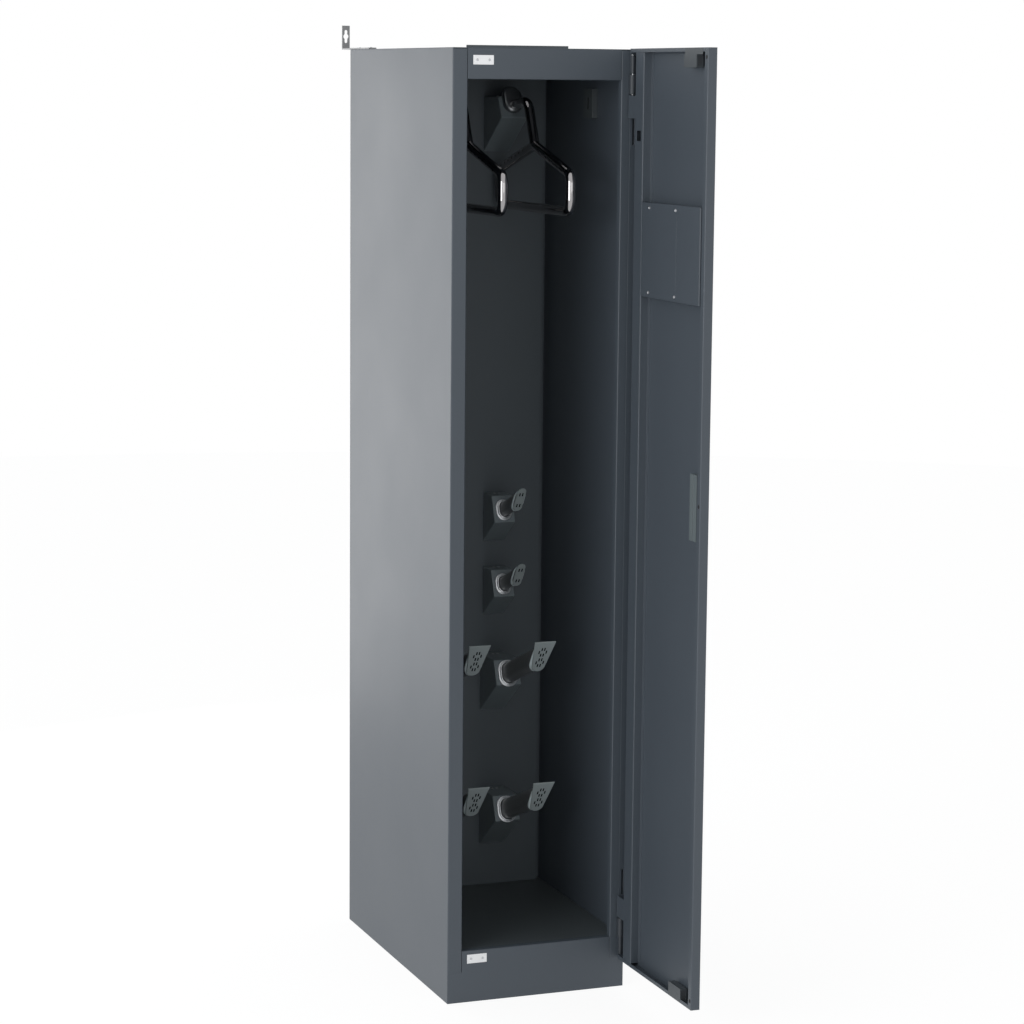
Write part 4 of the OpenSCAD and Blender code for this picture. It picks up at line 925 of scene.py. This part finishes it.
class CABINET_OT_end_plates(Operator):
    """Build the slotted end plates and the rims behind them"""

    bl_idname = "cabinet.end_plates"
    bl_label = "End plates"

    def execute(self, context):
        outlines = {"glove": glove_outline, "boot": boot_outline}
        chamfer, sunk = 0.8 * MM, 0.3 * MM
        dark, rims = [], []
        for kind, outline in outlines.items():
            plate = slotted_plate(outline, PLATE_SLOTS[kind], PLATE_THICK, chamfer)
            width, height, length = ARM_KINDS[kind][:3]
            parts = []
            for arm in ARMS:
                if arm[0] != kind:
                    continue
                foot = arm_frame(*arm)
                tip = (foot @ Matrix.Translation((0, 0, length))
                       @ Matrix.Rotation(TIP_LEAN + ARM_RISE, 4, "X"))
                parts += [moved(part, tip) for part in plate]
                rim = tube_rim(width, height, length, RIM_SIDE[kind], shape().around)
                rims.append(moved(rim, foot))
                # Painted shade: a black block in each slot, a little below the plate's faces, for the
                # shade in the slot
                for x, y in PLATE_SLOTS[kind]:
                    size = (SLOT_WIDTH, SLOT_LENGTH, PLATE_THICK - 2 * sunk)
                    dark.append(moved(small_block((x, y, sunk), 0.0, size), tip))
            node = kind + "_tips"
            build(node + "_finish", parts, plate_grey(), "cabinet", (node,))
        # The rims get a lighter copy of the plates' grey as painted light
        build("plate_rims", rims, rim_lit_grey(), "cabinet")
        build("plate_slot_shade", dark, painted_hole_shade(), "cabinet")
        return {"FINISHED"}


def hub_frame(side):
    """Matrix of a hanger's hub on its duct."""
    return front_frame("hanger_duct_" + side, HANGER_CORNER_RISE, HUB_LEAN, HUB_UP)


class CABINET_OT_hangers(Operator):
    """Build the two tube hangers and their hubs"""

    bl_idname = "cabinet.hangers"
    bl_label = "Hangers"

    def execute(self, context):
        for side in SIDES:
            self.hanger(side)
        self.hubs()
        return {"FINISHED"}

    def hanger(self, side):
        """A hanger: a loop with a peak, two shoulders and a bar, and the neck up to its hub."""
        half_depth, peak_rise, end_rise = 210.0 * MM, 132.0 * MM, 76.0 * MM
        peak_bend, end_bend, around = 30.0 * MM, 26.0 * MM, 32
        foot_in, foot_down, bend_behind = 6.0 * MM, 9.0 * MM, 42.0 * MM
        radius = shape().hanger_radius
        node = "hanger_" + side
        low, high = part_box(node)
        x = (low.x + high.x) / 2
        front = low.y + radius
        middle, back = front + half_depth, front + 2 * half_depth
        bar_z = low.z + radius
        end_z = bar_z + end_rise
        peak = np.array([middle, bar_z + peak_rise])
        loop = rounded_path(
            [peak, (front, end_z), (front, bar_z), (back, bar_z), (back, end_z)],
            [peak_bend] + [end_bend] * 4, closed=True)
        hub = hub_frame(side).translation
        start = np.array([hub.y + foot_in, hub.z - foot_down])
        top = np.array([middle + bend_behind, start[1] + foot_down])
        neck = rounded_path([start, top, peak], [0.0, peak_bend, 0.0], closed=False)
        parts = [tube_in_plane(loop, x, radius, around, True),
                 tube_in_plane(neck, x, radius, around, False)]
        rings = parts[1][0]
        parts += [disc_end(rings[:around]), disc_end(rings[-around:])]
        build(node + "_finish", parts, dark_chrome(), "cabinet", (node,))
        self.air_hole_shades(side, x, peak, ((front, end_z), (back, end_z)))

    def air_hole_shades(self, side, x, peak, ends):
        """Painted shade for the air holes along the shoulders: black discs on both faces of the tube
        stand in for the shade inside the holes.

        Each is a disc laid on the tube: a point at (a, b) from its middle, a along the tube,
        lies sqrt(radius ** 2 - b ** 2) out from the tube's axis.
        """
        radius = shape().hanger_radius
        turn = np.linspace(0, 2 * np.pi, 20, endpoint=False)
        ring = AIR_HOLE_R * np.linspace(0, 1, 4)[:, None]
        a, b = ring * np.cos(turn), ring * np.sin(turn)
        proud, first, spread = 0.06 * MM, 0.12, 0.72
        out = np.sqrt(radius ** 2 - b ** 2) + proud
        parts = []
        for end in ends:
            along = np.array(end) - peak
            unit = along / np.linalg.norm(along)
            for i in range(1, HANGER_HOLES + 1):
                spot = peak + along * (first + spread * i / HANGER_HOLES)
                for face in (-1, 1):
                    points = np.stack([x + face * out, spot[0] + a * unit[0] - b * unit[1],
                                       spot[1] + a * unit[1] + b * unit[0]], -1)
                    parts.append(surface(points, close_cols=True))
        build(f"hanger_{side}_holes", parts, painted_hole_shade(), "cabinet")

    def hubs(self):
        """The hubs: stadium capsules whose front edge is a quarter round that runs to a flat."""
        width, height, depth, round_r = 43.0 * MM, 60.0 * MM, 12.0 * MM, 6.0 * MM
        profile = np.vstack([
            [[-width / 2, 0.0], [0.0, 0.0]],
            arc((-round_r, depth - round_r), round_r, 0, 90, 9),
            [[-width / 2, depth]],
        ])
        shell = stadium_shell(width, height, profile, 64, closed=False)
        parts = [moved(shell, hub_frame(side)) for side in SIDES]
        build("hanger_hubs_finish", parts, hub_satin(), "cabinet", ("hanger_hubs",))


def screw_head(radius, height, count=24):
    """A domed screw head on local Z with a cross recess.

    The head is a low dome; where a point lies within the cross's arms it drops by the recess.
    """
    share = np.array([0.0, 0.18, 0.34, 0.5, 0.62, 0.8, 0.93, 1.0])
    turn = np.linspace(0, 2 * np.pi, count, endpoint=False)
    r = radius * share[:, None] * np.ones(count)
    x, y = r * np.cos(turn), r * np.sin(turn)
    arm = np.minimum(np.abs(x), np.abs(y)) < 0.16 * radius
    recess = np.where(arm & (r < 0.58 * radius), 0.45 * height, 0.0)
    z = height * np.sqrt(np.clip(1 - 0.75 * (r / radius) ** 2, 0, 1)) - recess
    skirt = np.stack([radius * np.cos(turn), radius * np.sin(turn), np.zeros(count)], -1)
    points = np.concatenate([np.stack([x, y, z], -1), skirt[None]], 0)
    return surface(points, close_cols=True)


class CABINET_OT_screws(Operator):
    """Build the screws of the ducts, the door's cover and the bracket"""

    bl_idname = "cabinet.screws"
    bl_label = "Screws"

    def execute(self, context):
        self.on_ducts()
        self.on_cover()
        finish_node("bracket_screws", zinc())
        return {"FINISHED"}

    def on_ducts(self):
        """Two screws on each duct's flat top, a little in front of the wall."""
        apart, in_front, head_r, head_h = 11.0 * MM, 20.0 * MM, 3.0 * MM, 1.6 * MM
        screw_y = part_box("air_wall")[0].y - in_front
        parts = []
        for node in DUCTS:
            low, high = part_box(node)
            for dx in (-apart / 2, apart / 2):
                spot = Matrix.Translation(((low.x + high.x) / 2 + dx, screw_y, high.z))
                parts.append(moved(screw_head(head_r, head_h), spot))
        build("duct_screws_finish", parts, zinc(), "cabinet", ("duct_screws",))

    def on_cover(self):
        """Four screws at the corners of their node's box, heads to -X."""
        low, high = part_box("cover_screws")
        radius, height = 3.6 * MM, 1.8 * MM
        parts = []
        for y in (low.y + radius, high.y - radius):
            for z in (low.z + radius, high.z - radius):
                spot = Matrix.Translation((low.x + height, y, z)) @ Matrix.Rotation(-math.pi / 2, 4, "Y")
                parts.append(moved(screw_head(radius, height), spot))
        build("cover_screws_finish", parts, zinc(), "door", ("cover_screws",))


class CABINET_OT_hinges(Operator):
    """Finish the hinges' knuckles, leaves and pins"""

    bl_idname = "cabinet.hinges"
    bl_label = "Hinges"

    def execute(self, context):
        dress("hinge_knuckles", hinge_shaded_paint(), shape().edge)
        dress("hinge_leaves", hinge_shaded_paint(), shape().edge)
        self.pins()
        return {"FINISHED"}

    def pins(self):
        """The pins: a shaft with a chamfered foot and a domed head, a quarter of an ellipse."""
        low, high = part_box("hinge_pins")
        head_r, shaft_r, head_h = (high.x - low.x) / 2, 3.0 * MM, 2.0 * MM
        chamfer, neck_z = 1 * MM, PIN_LENGTH - head_h
        turn = np.radians(np.linspace(90, 0, 8))
        dome = np.column_stack([head_r * np.cos(turn), neck_z + head_h * np.sin(turn)])
        foot = [[shaft_r, neck_z], [shaft_r, chamfer], [shaft_r - chamfer, 0], [0, 0]]
        profile = np.vstack([dome, foot])
        x, y = (low.x + high.x) / 2, (low.y + high.y) / 2
        parts = [moved(revolve(profile, 32), Matrix.Translation((x, y, z)))
                 for z in (low.z, high.z - PIN_LENGTH)]
        build("hinge_pins_finish", parts, zinc(), "cabinet", ("hinge_pins",))


class CABINET_OT_door(Operator):
    """Finish the door's tray, channel and cover"""

    bl_idname = "cabinet.door"
    bl_label = "Door"

    def execute(self, context):
        for node in ("door_skin", "door_channel"):
            fold(node, body_paint(), upright=True)
        fold("door_cover", body_paint())
        return {"FINISHED"}


class CABINET_OT_door_fittings(Operator):
    """Finish the pull and the magnet catches, and build the magnets' faces and the buffers"""

    bl_idname = "cabinet.door_fittings"
    bl_label = "Door fittings"

    def execute(self, context):
        dress("pull_handle", pull_grey(), shape().edge)
        dress("magnet_catches", catch_grey(), shape().edge)
        self.magnet_faces()
        self.buffers()
        return {"FINISHED"}

    def magnet_faces(self):
        """The magnets' dark faces, just inside the mouths of the catches' pockets."""
        low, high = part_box("magnet_catches")
        wall_in, wall_out, wall_z, sunk, thick = 3.0 * MM, 2.5 * MM, 4.0 * MM, 0.8 * MM, 3.0 * MM
        lower_height, upper_height, tab_height, tab_reach = 28.0 * MM, 25.5 * MM, 12.0 * MM, 28.5 * MM
        # The upper catch hangs from its tab, which starts nearer the free edge than the mouths
        mouth_y = low.y + tab_reach
        lower = (low.z, low.z + lower_height)
        upper = (high.z - tab_height - upper_height, high.z - tab_height)
        parts = []
        for bottom, top in (lower, upper):
            centre = ((low.x + wall_in + high.x - wall_out) / 2, mouth_y + sunk + thick / 2,
                      bottom + wall_z)
            size = (high.x - low.x - wall_in - wall_out, thick, top - bottom - 2 * wall_z)
            parts.append(small_block(centre, 0.0, size))
        build("magnet_faces", parts, magnet_grey(), "door")

    def buffers(self):
        """Low rubber domes on the door's free lip, facing the body's stile.

        A dome's height over its rim falls with the square of the distance from its middle.
        """
        low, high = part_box("door_buffers")
        radius, height = (high.y - low.y) / 2, high.x - low.x
        share = np.linspace(0, 1, 9)
        dome = np.column_stack([radius * share, height * (1 - 0.55 * share ** 2)])
        profile = np.vstack([dome, [[radius, 0.0]]])
        over_pull_foot = 78.0 * MM
        middle_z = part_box("pull_handle")[0].z + over_pull_foot
        parts = []
        for z in (low.z + radius, middle_z, high.z - radius):
            spot = Matrix.Translation((high.x, low.y + radius, z)) @ Matrix.Rotation(-math.pi / 2, 4, "Y")
            parts.append(moved(revolve(profile, 32), spot))
        build("door_buffers_finish", parts, rubber(), "door", ("door_buffers",))


def facing_right(node):
    """Matrix of a control on the door's outer face: local Z runs out to +X from its base."""
    low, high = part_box(node)
    spot = Matrix.Translation((high.x, (low.y + high.y) / 2, (low.z + high.z) / 2))
    return spot @ Matrix.Rotation(math.pi / 2, 4, "Y")


class CABINET_OT_controls(Operator):
    """Build the timer knob, the start button and the panel's marks"""

    bl_idname = "cabinet.controls"
    bl_label = "Controls"

    def execute(self, context):
        dress("control_panel", moulded_black(), shape().soft_edge)
        finish_node("control_unit", moulded_black())
        self.knob()
        self.button()
        self.marks()
        return {"FINISHED"}

    def knob(self):
        """The knob: a disc and a grip whose radius dips at each flute.

        The grip's radius is lowered by depth * max(0, cos(n * angle)) ** 6 for n flutes,
        so each flute is a narrow rounded groove.
        """
        low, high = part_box("timer_knob")
        flange_r, shaft_end = (high.y - low.y) / 2, low.x - high.x
        grip_r, height, flutes, depth = flange_r - 3 * MM, 17.0 * MM, 18, 1.3 * MM
        dish, grip_round, flange_round, shaft_r = 1.2 * MM, 1.5 * MM, 1 * MM, 3 * MM
        flange_z = 4 * MM - height

        def flute(angle, radius, z):
            on_grip = (radius > 0.6 * grip_r) & (z > flange_z + 0.4 * MM)
            return -depth * np.where(on_grip, np.maximum(0, np.cos(flutes * angle)) ** 6, 0)

        profile = np.vstack([
            [[0.0, -dish], [grip_r - 6 * MM, -dish], [grip_r - 5 * MM, -0.2 * MM]],
            arc((grip_r - grip_round, -grip_round), grip_round, 90, 0, 7),
            [[grip_r, flange_z + 0.6 * MM], [grip_r, flange_z]],
            arc((flange_r - flange_round, flange_z - flange_round), flange_round, 90, 0, 5),
            [[flange_r, -height], [0.0, -height]],
        ])
        at = facing_right("timer_knob")
        shaft = [[shaft_r, -height], [shaft_r, shaft_end], [0.0, shaft_end]]
        parts = [moved(revolve(profile, 288, flute), at), moved(revolve(shaft, 32), at)]
        build("timer_knob_finish", parts, catch_grey(), "timer", ("timer_knob",))
        line = small_block((-grip_r + 5.5 * MM, 0, -1.3 * MM), 0.0, (9 * MM, 1.6 * MM, 1.2 * MM))
        build("timer_pointer", [moved(line, at)], white_enamel(), "timer")

    def button(self):
        """The start button: a cap with a round edge, a shallow dish on top and its stem.

        The dish's depth falls from its middle to its rim with the cosine of the distance.
        """
        low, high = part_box("start_button")
        radius, stem_end = (high.y - low.y) / 2, low.x - high.x
        cap_h, dish, dish_rim, round_r, stem_r = 5.5 * MM, 0.7 * MM, 1.6 * MM, 1 * MM, 2.5 * MM
        share = np.linspace(0, 1, 9)
        hollow = np.column_stack([(radius - dish_rim) * share,
                                  -dish * 0.5 * (1 + np.cos(math.pi * share))])
        profile = np.vstack([
            hollow,
            arc((radius - round_r, -round_r), round_r, 90, 0, 7),
            [[radius, -cap_h], [stem_r, -cap_h], [stem_r, stem_end], [0.0, stem_end]],
        ])
        cap = moved(revolve(profile, 48), facing_right("start_button"))
        build("start_button_finish", [cap], white_enamel(), "button", ("start_button",))

    def marks(self):
        """White marks on the panel: a scale round the knob and a ring round the button."""
        panel_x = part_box("control_panel")[1].x
        proud, scale_r, mark_width, ring_in, ring_out = (
            size * MM for size in (0.12, 22.5, 0.9, 10.5, 11.5))
        at = facing_right("timer_knob")
        at.translation.x = panel_x
        parts = []
        for i, angle in enumerate(np.radians(180 - np.linspace(0, 300, 13))):
            length = (5.0 if i % 3 == 0 else 3.0) * MM
            reach = scale_r + length / 2
            spot = (reach * math.cos(angle), reach * math.sin(angle), 0)
            parts.append(moved(small_block(spot, angle, (length, mark_width, proud)), at))
        ring_at = facing_right("start_button")
        ring_at.translation.x = panel_x
        ring = [[ring_in, 0], [ring_in, proud], [ring_out, proud], [ring_out, 0]]
        parts.append(moved(revolve(ring, 64), ring_at))
        build("panel_marks", parts, white_enamel(), "door")


class CABINET_OT_roof_fittings(Operator):
    """Finish the vent cover and the wall bracket"""

    bl_idname = "cabinet.roof_fittings"
    bl_label = "Roof fittings"

    def execute(self, context):
        dress("roof_vent_cover", inner_paint(), shape().edge)
        dress("wall_bracket", bracket_zinc(), shape().edge)
        return {"FINISHED"}


class CABINET_OT_fan_unit(Operator):
    """Finish the fan, the heater and the filter behind the air wall"""

    bl_idname = "cabinet.fan_unit"
    bl_label = "Fan unit"

    def execute(self, context):
        for node in ("fan_housing", "fan_motor", "heater"):
            finish_node(node, zinc())
        for node in ("impeller", "thermostat"):
            finish_node(node, moulded_black())
        finish_node("air_filter", fleece())
        return {"FINISHED"}


# ---------------------------------------------------------------- stage


def photo_camera():
    """The camera at the photograph's place, turned by its yaw, pitch and roll."""
    ahead = Vector((math.sin(CAMERA_YAW) * math.cos(CAMERA_PITCH),
                    math.cos(CAMERA_YAW) * math.cos(CAMERA_PITCH), -math.sin(CAMERA_PITCH)))
    level = Vector((math.cos(CAMERA_YAW), -math.sin(CAMERA_YAW), 0.0))
    above = level.cross(ahead)
    right = level * math.cos(CAMERA_ROLL) + above * math.sin(CAMERA_ROLL)
    up = above * math.cos(CAMERA_ROLL) - level * math.sin(CAMERA_ROLL)
    data = bpy.data.cameras.new("photo_camera")
    data.sensor_width = CAMERA_SENSOR_MM
    data.lens = CAMERA_LENS_MM
    camera = bpy.data.objects.new("photo_camera", data)
    bpy.context.scene.collection.objects.link(camera)
    turn = Matrix((right, up, -ahead)).transposed()
    camera.matrix_world = Matrix.Translation(CAMERA_AT) @ turn.to_4x4()
    bpy.context.scene.camera = camera


def seen_directly(tree):
    """1 for rays from the camera, and from glossy and see-through surfaces, else 0."""
    path = tree.nodes.new("ShaderNodeLightPath")
    seen = math_node(tree, "MAXIMUM", path.outputs["Is Camera Ray"], path.outputs["Is Glossy Ray"])
    return math_node(tree, "MAXIMUM", seen, path.outputs["Is Transmission Ray"])


def studio_world(light):
    """A white world to the camera and to reflections, a soft even light to the rest."""
    world = bpy.data.worlds.new("studio")
    world.use_nodes = True
    tree = world.node_tree
    background = tree.nodes["Background"]
    background.inputs["Color"].default_value = (1.0, 1.0, 1.0, 1.0)
    seen = seen_directly(tree)
    strength = math_node(tree, "ADD", math_node(tree, "MULTIPLY", seen, 1.0 - light), light)
    tree.links.new(strength, background.inputs["Strength"])
    bpy.context.scene.world = world


def floor_material():
    """Pale floor: white to the camera apart from the object's shadow."""
    material = bpy.data.materials.new("pale_floor")
    material.use_nodes = True
    tree = material.node_tree
    shader = tree.nodes["Principled BSDF"]
    shader.inputs["Base Color"].default_value = (0.80, 0.81, 0.82, 1.0)
    shader.inputs["Roughness"].default_value = 0.9
    glow_strength, glow_share = 1.06, 0.86
    glow = tree.nodes.new("ShaderNodeEmission")
    mix = tree.nodes.new("ShaderNodeMixShader")
    glow.inputs["Strength"].default_value = glow_strength
    fac = math_node(tree, "MULTIPLY", seen_directly(tree), glow_share)
    tree.links.new(fac, mix.inputs["Fac"])
    tree.links.new(shader.outputs[0], mix.inputs[1])
    tree.links.new(glow.outputs[0], mix.inputs[2])
    tree.links.new(mix.outputs[0], tree.nodes["Material Output"].inputs["Surface"])
    return material


def floor_disc(radius, count=96):
    """The floor, a disc under the cabinet."""
    turn = np.linspace(0, 2 * np.pi, count, endpoint=False)
    ring = np.stack([radius * np.cos(turn), radius * np.sin(turn), np.full(count, -0.0005)], -1)
    mesh = bpy.data.meshes.new("floor")
    mesh.from_pydata(ring.tolist(), [], [list(range(count))])
    floor = bpy.data.objects.new("floor", mesh)
    mesh.materials.append(floor_material())
    bpy.context.scene.collection.objects.link(floor)


def soft_lamp(name, at, target, width, height, power):
    """A large area lamp aimed at a point."""
    data = bpy.data.lights.new(name, "AREA")
    data.shape = "RECTANGLE"
    data.size, data.size_y, data.energy = width, height, power
    lamp = bpy.data.objects.new(name, data)
    lamp.visible_camera = False
    aim = (Vector(target) - Vector(at)).to_track_quat("-Z", "Y")
    lamp.matrix_world = Matrix.Translation(at) @ aim.to_matrix().to_4x4()
    bpy.context.scene.collection.objects.link(lamp)


class CABINET_OT_stage(Operator):
    """Set up the camera, the floor, the world and the lamps"""

    bl_idname = "cabinet.stage"
    bl_label = "Stage"

    def execute(self, context):
        context.scene.view_settings.view_transform = "Standard"
        photo_camera()
        studio_world(light=0.66)
        floor_disc(radius=9.0)
        # Each lamp's name, place, target, width, height and power in watts
        soft_lamp("left_softbox", (-4.7, -2.8, 2.0), (0, -0.2, 0.9), 3.0, 2.4, 108.0)
        soft_lamp("front_softbox", (-0.6, -6.5, 2.2), (0, 0, 0.5), 3.0, 1.6, 15.0)
        soft_lamp("back_softbox", (-0.85, 2.5, 1.15), (-0.2, 0, 1.15), 1.8, 2.1, 20.0)
        return {"FINISHED"}


class CABINET_PT_panel(Panel):
    """Sidebar panel that lists the cabinet's parts"""

    bl_label = "Drying cabinet"
    bl_idname = "CABINET_PT_panel"
    bl_space_type = "VIEW_3D"
    bl_region_type = "UI"
    bl_category = "Cabinet"

    def draw(self, context):
        column = self.layout.column()
        for settings in (context.scene.cabinet_paint, context.scene.cabinet_shape):
            for name in settings.__annotations__:
                column.prop(settings, name)
        for operator in STEPS:
            column.operator(operator.bl_idname)


STEPS = (
    CABINET_OT_stage, CABINET_OT_body, CABINET_OT_air_wall, CABINET_OT_ducts,
    CABINET_OT_collars, CABINET_OT_arms, CABINET_OT_end_plates, CABINET_OT_hangers,
    CABINET_OT_screws, CABINET_OT_hinges, CABINET_OT_door, CABINET_OT_door_fittings,
    CABINET_OT_controls, CABINET_OT_roof_fittings, CABINET_OT_fan_unit,
)
CLASSES = (CabinetPaint, CabinetShape, *STEPS, CABINET_PT_panel)


def register():
    """Registers the classes and the scene's settings."""
    for cls in CLASSES:
        bpy.utils.register_class(cls)
    bpy.types.Scene.cabinet_paint = PointerProperty(type=CabinetPaint)
    bpy.types.Scene.cabinet_shape = PointerProperty(type=CabinetShape)


def unregister():
    """Takes the settings and the classes out again."""
    del bpy.types.Scene.cabinet_shape
    del bpy.types.Scene.cabinet_paint
    for cls in reversed(CLASSES):
        bpy.utils.unregister_class(cls)


def main():
    """Builds every piece in order."""
    register()
    for step in STEPS:
        area, name = step.bl_idname.split(".")
        getattr(getattr(bpy.ops, area), name)()


if __name__ == "__main__":
    main()
